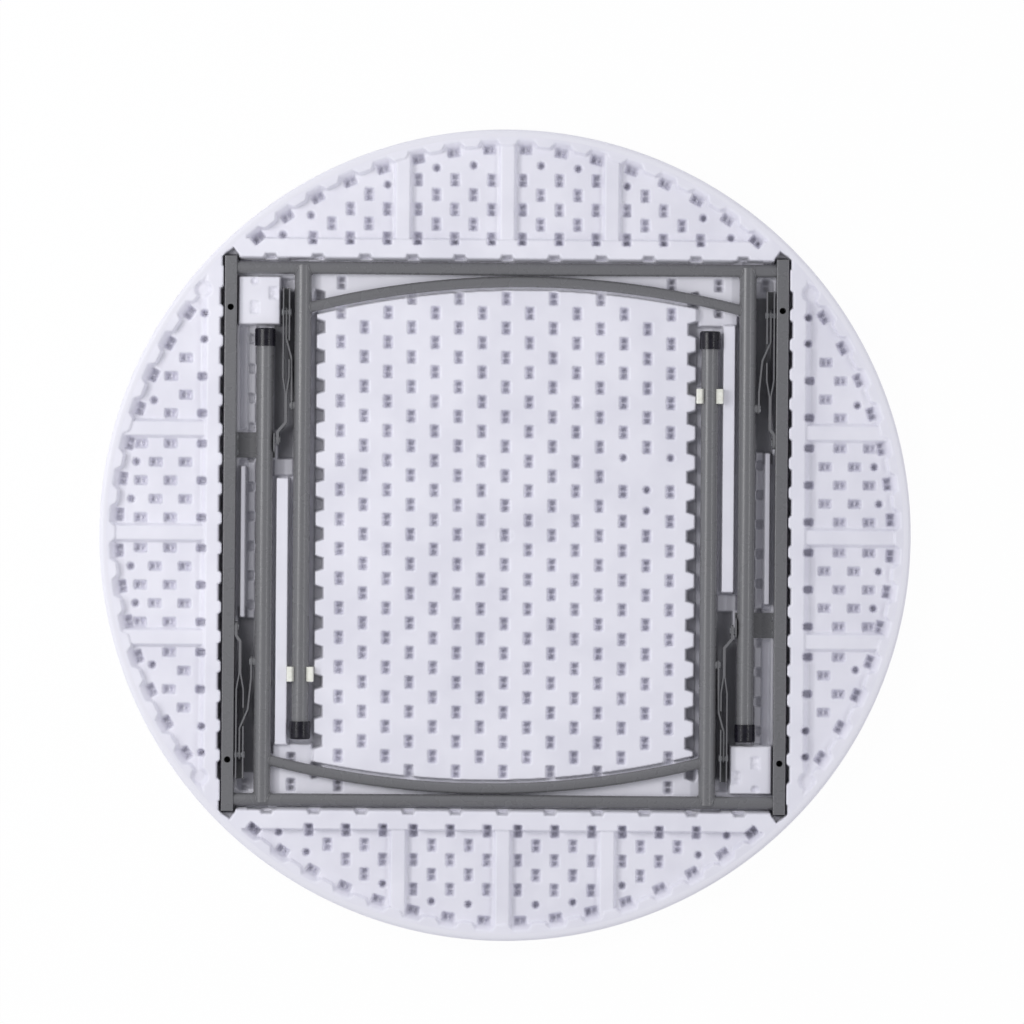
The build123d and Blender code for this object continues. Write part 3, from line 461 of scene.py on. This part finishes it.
def panelDistance(x, y):
    # Inside of the centre panel's arched outline, and inside of the notches in its two sides
    side = top["panelHalfWidth"] - np.abs(x)
    inside = np.minimum(side, np.minimum(archDistance(x, y), archDistance(-x, -y)))
    return inside, np.minimum(notchDistance(y, side, panelNotch), side + top["notchOverlap"])


def archDistance(x, y):
    # Inside of the far arch: positive on the middle's side of it
    return top["archRadius"] - np.hypot(x - top["legOffset"], y - top["archApex"] + top["archRadius"])


def channelFloor(x, y):
    # Height of the channel's floor, and the share of painted shade there: each level is brought in by a
    # soft step on the distance inside its own region
    zone, stay, ledge = (np.full_like(x, nowhere) for layer in range(3))
    seat = np.abs(x) - levels["bayTo"]
    for turn in (-1, 1):
        u, v = turn * x, turn * y
        fromPost = np.abs(np.abs(u - top["legOffset"]) - top["postReach"])
        between = top["postReach"] - levels["zoneInset"] - np.abs(u - top["legOffset"])
        pastArch = -levels["zonePastArch"] - archDistance(u, v)
        zone = np.maximum(zone, np.minimum(np.minimum(pastArch, between), v))
        middleX, middleY, across, along = pastCap
        zone = np.maximum(zone, boxDistance(u - middleX, v - middleY, across / 2, along / 2, pastCapCorner))
        atWall = np.minimum(v - levels["ledgeFrom"], levels["ledgeTo"] - np.abs(x))
        ledge = np.maximum(ledge, np.minimum(atWall, fromPost - levels["ledgeFromPost"]))
        for region, boxes in ((stay, staySlots), (seat, seats)):
            for middleX, middleY, across, along in boxes:
                np.maximum(region, boxDistance(u - middleX, v - middleY, across / 2, along / 2), out=region)
    whole = np.minimum(np.minimum(np.abs(x) - levels["bayFrom"], levels["bayEnd"] - np.abs(y)), -zone)
    bay = soft(np.minimum(whole, -seat), levels["run"])
    stay = soft(stay, levels["run"]) * bay
    floor = top["floorHeight"] + (levels["zone"] - top["floorHeight"]) * soft(zone, levels["run"])
    floor += (levels["bay"] - top["floorHeight"]) * bay + (levels["stay"] - levels["bay"]) * stay
    floor += (levels["ledge"] - floor) * soft(ledge, levels["ledgeRun"])
    # Painted shade: a light share in the bays, more on the seats of strap and clip, most where the stays fold
    shadeShare = shadeByPlace["seat"] * soft(whole, levels["run"])
    shadeShare += (shadeByPlace["bay"] - shadeByPlace["seat"]) * bay + (shadeByPlace["stay"] - shadeByPlace["bay"]) * stay
    return floor, shadeShare


def halfTurns(places):
    # Every place, and the same place given half a turn
    return [place for x, y in places for place in ((x, y), (-x, -y))]


def bothSides(places):
    # Every place on both sides of the Y axis
    return [(side * x, y) for x, y in places for side in (-1, 1)]


def lattice(column, row):
    # Place of one step of the centre panel's lattice
    return column * rows["columnStep"], row * rows["rowPitch"]


def fieldPlaces(first, reach):
    # Staggered pairs of one field that lie inside the rim's wall, as (along the band, away from it)
    found = []
    clear = (top["ribWidth"] + pair["across"]) / 2
    for row in range(rows["fieldRows"]):
        away = first + row * rows["rowStep"]
        for start, end in ((0, top["ribPitch"]), (top["ribPitch"], top["radius"])):
            for step in (-1, 0, 1, 2):
                along = start + top["ribPitch"] / 2 + (row % 2 / 2 + step) * rows["fieldPitch"]
                corner = math.hypot(along + pair["across"] / 2, away + pair["along"] / 2)
                if start + clear < along < end - clear and corner < reach:
                    found.append((along, away))
    return bothSides(found)


def panelPlaces():
    # Columns of pairs, every second one shifted by half a pitch, round the plain spot
    places = []
    for column in range(-rows["halfColumns"], rows["halfColumns"] + 1):
        for row in range(-rows["halfRows"], rows["halfRows"] + 1):
            step = (column, row + 0.5 * (column % 2))
            x, y = lattice(*step)
            inside = panelDistance(np.array(x), np.array(y))[0]
            if inside > rows["margin"] and step not in spotDimples:
                places.append((x, y))
    return places


def rimPairs():
    # One pair at the foot of each rim notch, lying along the rim
    places = []
    for field, count in enumerate((rows["sideRimPairs"], rows["longRimPairs"]) * 2):
        for step in range(count):
            a = math.radians(quarterCircle * field + (step - (count - 1) / 2) * top["notchPitch"])
            places.append((rows["rimRadius"] * math.cos(a), rows["rimRadius"] * math.sin(a), a))
    return places


def unturned(places):
    # Places of upright pockets, as (x, y, turn)
    return [(x, y, 0.0) for x, y in places]


def cutPockets(layer, xs, ys, places, cut, level):
    # Each place, as (x, y, turn), changes only the small window of the grid round it
    reach = int(math.ceil(rows["window"] / top["gridStep"]))
    for x, y, turn in places:
        i = int(round((x - xs[0]) / top["gridStep"]))
        j = int(round((y - ys[0]) / top["gridStep"]))
        window = (slice(max(i - reach, 0), i + reach + 1), slice(max(j - reach, 0), j + reach + 1))
        dx, dy = np.meshgrid(xs[window[0]] - x, ys[window[1]] - y, indexing="ij")
        u = dx * math.cos(turn) + dy * math.sin(turn)
        v = dy * math.cos(turn) - dx * math.sin(turn)
        layer[window] = cut(layer[window], u, v, level)


def cellDistance(u, v):
    # Inside of the two cells of a pair
    halfAcross, halfAlong = pair["cellAcross"] / 2, pair["cellAlong"] / 2
    return boxDistance(u, np.abs(v) - pair["cellShift"], halfAcross, halfAlong, pair["corner"])


def cutPair(height, u, v, floor):
    # A shallow mouth, then two square cells with a ridge between them
    mouth = soft(boxDistance(u, v, pair["across"] / 2, pair["along"] / 2, pair["corner"]), pair["mouthRun"])
    height = height - pair["ridgeShare"] * (height - floor) * mouth
    return height + (floor - height) * soft(cellDistance(u, v), pair["cellRun"])


def shadePair(shadeShare, u, v, cellShade):
    # Painted shade darkens the cells of a deep pair
    return np.maximum(shadeShare, cellShade * soft(cellDistance(u, v) + pair["shadeSpread"], pair["cellRun"]))


def cutDimple(height, u, v, floor):
    # A round dimple with sloping sides
    return height + (floor - height) * soft(dimple["radius"] - np.hypot(u, v), dimple["run"])


def cutSmallPocket(height, u, v, floor):
    # A single rounded cell, which never stands out of a lower floor
    inside = boxDistance(u, v, smallPocket["across"] / 2, smallPocket["along"] / 2, smallPocket["corner"])
    return height + (np.minimum(floor, height) - height) * soft(inside, smallPocket["run"])


def cutAllPockets(height, shadeShare, xs, ys):
    sidePairs = halfTurns(fieldPlaces(rows["sideFirst"], rows["sideReach"]))
    longPairs = halfTurns(fieldPlaces(rows["longFirst"], rows["longReach"]))
    upright = unturned(panelPlaces())
    ends = unturned(halfTurns([lattice(*step) for step in endPairs]))
    outer = [place for place in sidePairs if abs(place[1]) > rows["sideFirst"]]
    inner = [place for place in sidePairs if abs(place[1]) == rows["sideFirst"]]
    inner = [place for place in inner if abs(place[0]) < rows["bandReach"]]
    fields = unturned(longPairs) + [(-y, x, math.pi / 2) for x, y in outer]
    atBand = [(-y + math.copysign(smallPocket["towardsBand"], y), x, math.pi / 2) for x, y in inner]
    span = (rows["bayCount"] - 1) / 2
    bays = [(-rows["bayX"], rows["bayMiddle"] + k * sideNotch["pitch"]) for k in np.arange(-span, span + 1)]
    singles = halfTurns(bothSides(longDimples))
    singles += [(-y, x) for x, y in halfTurns(bothSides(sideDimples))]
    singles += [(lattice(*step)[0], y) for step, y in spotDimples.items()]
    cutPockets(height, xs, ys, upright, cutPair, pair["floor"])
    cutPockets(height, xs, ys, ends, cutPair, pair["endFloor"])
    # Painted shade in the cells of the deep end pairs
    cutPockets(shadeShare, xs, ys, ends, shadePair, pair["endShade"])
    cutPockets(height, xs, ys, fields + rimPairs(), cutPair, pair["fieldFloor"])
    cutPockets(height, xs, ys, atBand, cutSmallPocket, smallPocket["fieldFloor"])
    cutPockets(height, xs, ys, unturned(halfTurns(bays)), cutSmallPocket, smallPocket["floor"])
    cutPockets(height, xs, ys, unturned(singles), cutDimple, dimple["floor"])
    cutPockets(height, xs, ys, unturned(halfTurns(blockPairs)), cutPair, pair["faintFloor"])
    cutPockets(height, xs, ys, unturned(halfTurns([blockDimple])), cutDimple, dimple["faintFloor"])
    print("underside:", len(upright + ends + fields + atBand), "pockets and", len(singles), "single dimples")


def undersideHeight(xs, ys):
    # Height of every grid place: outer levels, then the channel and what stands in it, then pockets. Each
    # form is laid over the last by height + (its level - height) * its soft step
    x, y = np.meshgrid(xs, ys, indexing="ij")
    height = outerLevels(x, y)
    inside, panelCut = panelDistance(x, y)
    raised = soft(inside, top["channelRun"])
    floor, shadeShare = channelFloor(x, y)
    # No painted shade on the raised panel
    shadeShare *= 1 - raised
    for turn in (-1, 1):
        for name, (middleX, middleY, across, along) in leftBay.items():
            bar = boxDistance(turn * x - middleX, turn * y - middleY, across / 2, along / 2, leftBayCorner)
            bar = soft(bar, top["channelRun"])
            raised = np.maximum(raised, bar)
            # Painted shade on the ridge, and none on the strip and the block
            shadeShare += (shadeByPlace.get(name, 0.0) - shadeShare) * bar
    floor += (top["panelHeight"] - floor) * raised
    channel, longCut, sideCut = channelDistance(x, y)
    corner = np.minimum(np.abs(y) - top["cornerStraight"], channel + top["cornerSpread"])
    corner = soft(corner, top["cornerRun"])
    floor += (top["cornerFloor"] - floor) * corner
    # Painted shade in the pointed corner recesses and in the panel's notches
    shadeShare += (top["cornerShade"] - shadeShare) * corner + (shadeByPlace["notch"] - shadeShare) * soft(panelCut, top["notchEdge"])
    height += (floor - height) * soft(channel, top["channelRun"])
    for notch, shape in ((panelCut, panelNotch), (sideCut, sideNotch), (longCut, longNotch)):
        height += (np.minimum(height, shape["floor"]) - height) * soft(notch, top["notchEdge"])
    fromDisc = top["discRadius"] - np.hypot(x, y)
    disc = soft(fromDisc, top["discRun"]) - soft(fromDisc - top["discWidth"], top["discRun"])
    height -= top["discDepth"] * disc
    cutAllPockets(height, shadeShare, xs, ys)
    # Painted shade is kept to the channel
    return height, shadeShare * soft(channel, top["channelRun"])


braceLow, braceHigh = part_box("far_brace")
top["archApex"] = braceHigh.y / mm - (braceHigh.z - braceLow.z) / mm - top["archGap"]
halfCount = int(top["joinRadius"] // top["gridStep"]) + 2          # the grid goes a little past the join
xs = np.arange(-halfCount, halfCount + 1) * top["gridStep"]
height, shadeShare = undersideHeight(xs, xs)
gridX, gridY = np.meshgrid(xs, xs, indexing="ij")
radius = np.hypot(gridX, gridY)
near = top["gridStep"] * math.sqrt(0.5)          # half a cell's diagonal
onJoin = radius > top["joinRadius"] - near          # these places move onto the join circle
factor = np.where(onJoin, top["joinRadius"] / np.maximum(radius, 1), 1.0)
places = np.stack([gridX * factor, gridY * factor, height], axis=-1).reshape(-1, 3) * mm
faces = gridQuads(len(xs), len(xs))[:, ::-1]
kept = (radius.ravel()[faces] <= top["joinRadius"] + near).all(1) & ~onJoin.ravel()[faces].all(1)
faces = faces[kept]
centres = places[faces].mean(1)
cuts = np.array([-1, 1]) * top["blockEdge"] * mm
column, row = np.searchsorted(cuts, centres[:, 0]), np.searchsorted(cuts, centres[:, 1])
columnNames, rowNames = ("left", "middle", "right"), ("near", "centre", "far")
for i in range(3):
    for j in range(3):
        own = faces[(column == i) & (row == j)]
        used, numbers = np.unique(own, return_inverse=True)
        mesh = makeMesh(f"underside_{rowNames[j]}_{columnNames[i]}", places[used], numbers.reshape(-1, 4))
        # Each point carries its share of painted shade, which the plastic's material reads
        paintedShade = mesh.attributes.new("paintedShade", "FLOAT", "POINT")
        paintedShade.data.foreach_set("value", shadeShare.ravel()[used].astype(np.float32))
        piece = addPiece(mesh.name, mesh, hdpeMaterial, "root")
        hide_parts("tabletop")
print("underside made of", len(faces), "faces")

# Outer wall and play face: a profile turned round Z, with the rim's and the outer edge's rounding

shell = {"segments": 720, "edgeRound": 9.0, "edgeSteps": 13, "rimRound": 6.0, "rimSteps": 9,
         "tuck": 1.5, "tuckDepth": 0.5, "faceRings": 36}


def outerShell():
    # Radius and height along the profile, from under the join, over the edge and in to the play face's
    # middle: each rounding is (its middle + its radius * cos t, its middle + its radius * sin t)
    r, h = top["radius"], top["rimHeight"]
    join, a, b = top["joinRadius"], shell["rimRound"], shell["edgeRound"]
    turnA = np.linspace(math.pi / 2, 0, shell["rimSteps"])
    turnB = np.linspace(0, -math.pi / 2, shell["edgeSteps"])
    rings = np.linspace(r - b, 0, shell["faceRings"] + 1)[1:-1]
    tucked = [join - shell["tuck"], join]
    radii = np.concatenate([tucked, r - a + a * np.cos(turnA), r - b + b * np.cos(turnB), rings])
    tucked = [h - shell["tuckDepth"], h]
    heights = np.concatenate([tucked, h - a + a * np.sin(turnA), b + b * np.sin(turnB), rings * 0])
    step = np.arange(shell["segments"])
    angle = step * 2 * math.pi / shell["segments"]
    across, along = np.outer(radii, np.cos(angle)), np.outer(radii, np.sin(angle))
    points = np.stack([across, along, np.outer(heights, np.ones_like(angle))], axis=-1).reshape(-1, 3)
    quads = gridQuads(len(radii), shell["segments"], wrapColumns=True)[:, ::-1]
    last = (len(radii) - 1) * shell["segments"]
    following = (step + 1) % shell["segments"]
    fan = np.stack([last + step, last + following, np.full_like(step, len(points))], axis=1)[:, ::-1]
    return makeMesh("top_shell", np.vstack([points, [[0, 0, 0]]]) * mm, quads, fan)


shellPiece = addPiece("top_shell", outerShell(), playFaceMaterial, "root")
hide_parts("tabletop")
print("outer wall and play face made")

# Weld beads where the posts meet hinge tube and brace

# Lengths in millimetres in the far frame and hingeTurn in degrees; ripples is how many lie along one bead
weld = {
    "bead": 1.5, "ripple": 0.16, "ripples": 26.0, "taper": 4.0, "endShare": 0.15, "around": 10, "along": 60,
    "hingeTurn": 112.0, "postRadius": 12.7, "hingeRadius": 9.5, "hingeLean": 9.0, "braceRadius": 8.0,
    "braceY": 341.2, "braceSlope": 0.252, "hingeY": 400.0, "axisHeight": 28.0,
}


def beadTube(path, outward, closed):
    # A round bead carried along a path: centre + radius * (cos a * outward + sin a * across), where the
    # radius is bead * (1 + ripple * sin of the place along the path), tapered at open ends
    count = len(path)
    along = np.roll(path, -1, 0) - np.roll(path, 1, 0) if closed else np.gradient(path, axis=0)
    along /= np.linalg.norm(along, axis=1, keepdims=True)
    outward = outward - along * (outward * along).sum(1, keepdims=True)
    outward /= np.linalg.norm(outward, axis=1, keepdims=True)
    across = np.cross(along, outward)
    share = np.arange(count) / (count if closed else count - 1)
    ends = 1.0 if closed else np.minimum(1, np.sin(np.pi * share) * weld["taper"] + weld["endShare"])
    size = weld["bead"] * (1 + weld["ripple"] * np.sin(2 * np.pi * weld["ripples"] * share)) * ends
    a = np.arange(weld["around"]) * 2 * np.pi / weld["around"]
    ring = np.cos(a)[None, :, None] * outward[:, None] + np.sin(a)[None, :, None] * across[:, None]
    points = (path[:, None] + size[:, None, None] * ring).reshape(-1, 3)
    quads = gridQuads(count, weld["around"], wrapRows=closed, wrapColumns=True)
    if closed:
        return points, quads, np.zeros((0, 3), int)
    step, last = np.arange(weld["around"]), (count - 1) * weld["around"]
    following = (step + 1) % weld["around"]
    caps = [np.stack([following, step, step * 0 + len(points)], 1),
            np.stack([last + step, last + following, step * 0 + len(points) + 1], 1)]
    return np.vstack([points, path[:1], path[-1:]]), quads, np.vstack(caps)


def weldBeads(turn):
    # All the beads of one leg frame; the near frame's are the far one's given half a turn
    meshes = []
    level = weld["axisHeight"]
    for side in (-1, 1):
        postX = top["legOffset"] + side * top["postReach"]
        # Two open beads at the hinge tube, one on each side of the post
        t = np.radians(np.linspace(-weld["hingeTurn"], weld["hingeTurn"], weld["along"]))
        y, z = -weld["hingeRadius"] * np.cos(t), weld["hingeRadius"] * np.sin(t)
        for face in (-1, 1):
            x = face * np.sqrt(weld["postRadius"] ** 2 - z**2)
            path = np.stack([postX + x, weld["hingeY"] + y, level + z], 1)
            outward = np.stack([face * np.ones_like(x), y / weld["hingeLean"], z / weld["hingeLean"]], 1)
            meshes.append(beadTube(path, outward, False))
        # One closed bead round the brace, where it meets the post
        s = np.arange(weld["along"]) * 2 * np.pi / weld["along"]
        z = weld["braceRadius"] * np.sin(s)
        x = -side * np.sqrt(weld["postRadius"] ** 2 - z**2)
        drop = weld["braceSlope"] * (weld["postRadius"] - np.abs(x))
        y = weld["braceY"] + weld["braceRadius"] * np.cos(s) - drop
        outward = np.stack([-side * np.ones_like(s), np.cos(s), np.sin(s)], 1)
        meshes.append(beadTube(np.stack([postX + x, y, level + z], 1), outward, True))
    shift = np.cumsum([0] + [len(points) for points, quads, caps in meshes])
    points = np.vstack([part[0] for part in meshes]) * mm * np.array([turn, turn, 1])
    quads = np.vstack([part[1] + shift[i] for i, part in enumerate(meshes)])
    caps = np.vstack([part[2] + shift[i] for i, part in enumerate(meshes)])
    return points, quads, caps


for legName, turn in (("far", 1), ("near", -1)):
    mesh = makeMesh(legName + "_weld_beads", *weldBeads(turn))
    addPiece(mesh.name, mesh, finishes["grey_powder_coat"], legName + "_leg")
print("weld beads made")

# Floor, light and camera

# The floor's half width in metres and its gap under the top in millimetres; the last four are the surround's
# strengths low down, overhead, on the left and on the right
studio = {"floorHalf": 60.0, "floorGap": 0.3, "floorShow": 0.97, "floorColour": "f4f4f6",
          "floorRoughness": 0.9, "surround": "f7f8ff", "horizon": 0.95, "zenith": 0.3, "left": 1.06,
          "right": 0.94}
# Lights as place in metres, size along X and Y of their own frame, and power in watts
lights = {
    "key_light": ((-1.7, 0.7, 2.5), (1.4, 1.4), 28.0),
    "left_strip": ((-2.3, 0.0, 2.35), (2.6, 0.14), 17.0),
    "right_strip": ((2.15, 0.0, 2.45), (2.6, 0.14), 15.0),
}


def studioFloor():
    # Pale floor: white to the camera and in reflections, with a trace of the object's shadow
    corners = np.array([[-1, -1, 0], [1, -1, 0], [1, 1, 0], [-1, 1, 0]]) * studio["floorHalf"]
    corners[:, 2] = topLow.z - studio["floorGap"] * mm
    material, tree, shader = newMaterial("pale_studio_floor")
    shader.inputs["Base Color"].default_value = hexColour(studio["floorColour"])
    shader.inputs["Roughness"].default_value = studio["floorRoughness"]
    path = addNode(tree, "ShaderNodeLightPath")
    links = {0: (path, "Is Camera Ray"), 1: (path, "Is Glossy Ray")}
    seen = addNode(tree, "ShaderNodeMath", {"operation": "MAXIMUM"}, links=links)
    links = {0: (seen, "Value"), 1: (path, "Is Transmission Ray")}
    shown = addNode(tree, "ShaderNodeMath", {"operation": "MAXIMUM"}, links=links)
    inputs, links = {1: studio["floorShow"]}, {0: (shown, "Value")}
    share = addNode(tree, "ShaderNodeMath", {"operation": "MULTIPLY"}, inputs, links)
    glow = addNode(tree, "ShaderNodeEmission", inputs={"Color": (1, 1, 1, 1), "Strength": 1.0})
    links = {"Fac": (share, "Value"), 1: (shader, "BSDF"), 2: (glow, "Emission")}
    mixed = addNode(tree, "ShaderNodeMixShader", links=links)
    output = next(n for n in tree.nodes if n.type == "OUTPUT_MATERIAL")
    tree.links.new(mixed.outputs["Shader"], output.inputs["Surface"])
    mesh = makeMesh("studio_floor", corners, np.array([[0, 1, 2, 3]]))
    floor = bpy.data.objects.new("studio_floor", mesh)
    mesh.materials.append(material)
    scene.collection.objects.link(floor)


def areaLight(name, place, size, power):
    # Rectangular lamp that looks at the middle of the object, its long side level
    lamp = bpy.data.lights.new(name, "AREA")
    lamp.shape, lamp.size, lamp.size_y, lamp.energy = "RECTANGLE", *size, power
    holder = bpy.data.objects.new(name, lamp)
    scene.collection.objects.link(holder)
    holder.location = place
    toMiddle = -holder.location
    holder.rotation_euler = toMiddle.to_track_quat("-Z", "Y").to_euler()


def studioWorld():
    # Pale surround, brightest low down and on the left, which the camera sees as plain white
    world = bpy.data.worlds.new("studio_world")
    scene.world = world
    world.use_nodes = True
    tree = world.node_tree
    tree.nodes.clear()
    path = addNode(tree, "ShaderNodeLightPath")
    links = {0: (path, "Is Camera Ray"), 1: (path, "Is Transmission Ray")}
    seen = addNode(tree, "ShaderNodeMath", {"operation": "MAXIMUM"}, links=links)
    place = addNode(tree, "ShaderNodeTexCoord")
    direction = addNode(tree, "ShaderNodeSeparateXYZ", links={"Vector": (place, "Generated")})
    inputs = {"From Min": 0.0, "From Max": 1.0, "To Min": studio["horizon"], "To Max": studio["zenith"]}
    rise = addNode(tree, "ShaderNodeMapRange", inputs=inputs, links={"Value": (direction, "Z")})
    inputs = {"From Min": -1.0, "From Max": 1.0, "To Min": studio["left"], "To Max": studio["right"]}
    side = addNode(tree, "ShaderNodeMapRange", inputs=inputs, links={"Value": (direction, "X")})
    links = {0: (rise, "Result"), 1: (side, "Result")}
    level = addNode(tree, "ShaderNodeMath", {"operation": "MULTIPLY"}, links=links)
    inputs = {"Color": hexColour(studio["surround"])}
    surround = addNode(tree, "ShaderNodeBackground", inputs=inputs, links={"Strength": (level, "Value")})
    plain = addNode(tree, "ShaderNodeBackground", inputs={"Color": (1, 1, 1, 1), "Strength": 1.0})
    links = {"Fac": (seen, "Value"), 1: (surround, "Background"), 2: (plain, "Background")}
    mixed = addNode(tree, "ShaderNodeMixShader", links=links)
    addNode(tree, "ShaderNodeOutputWorld", links={"Surface": (mixed, "Shader")})


# Pixels of the photograph's frame, turn in degrees, distance in metres and sensor in millimetres
photoFrame = {"pixels": 1024, "objectPixels": 810.0, "centre": (505.0, 535.2), "turn": 0.44,
              "distance": 9.0, "sensor": 36.0, "clipEnd": 100.0}


def photoCamera():
    # Straight down, so far off that it is nearly parallel, turned and shifted as the photograph's frame is
    perPixel = 2 * top["radius"] * mm / photoFrame["objectPixels"]
    turn = math.radians(photoFrame["turn"])
    right = (photoFrame["pixels"] / 2 - photoFrame["centre"][0]) * perPixel
    up = (photoFrame["centre"][1] - photoFrame["pixels"] / 2) * perPixel
    lens = bpy.data.cameras.new("photo_camera")
    lens.sensor_width = photoFrame["sensor"]
    middleHeight = top["rimHeight"] * mm / 2
    lens.lens = photoFrame["sensor"] * photoFrame["distance"] / (photoFrame["pixels"] * perPixel)
    holder = bpy.data.objects.new("photo_camera", lens)
    scene.collection.objects.link(holder)
    holder.location = (
        right * math.cos(turn) - up * math.sin(turn),
        right * math.sin(turn) + up * math.cos(turn),
        photoFrame["distance"] + middleHeight,
    )
    holder.rotation_euler = (0, 0, turn)
    lens.clip_end = photoFrame["clipEnd"]
    scene.camera = holder


studioFloor()
studioWorld()
for lightName, (place, size, power) in lights.items():
    areaLight(lightName, place, size, power)
photoCamera()
scene.view_settings.view_transform = "Standard"
print("floor, light and camera made")
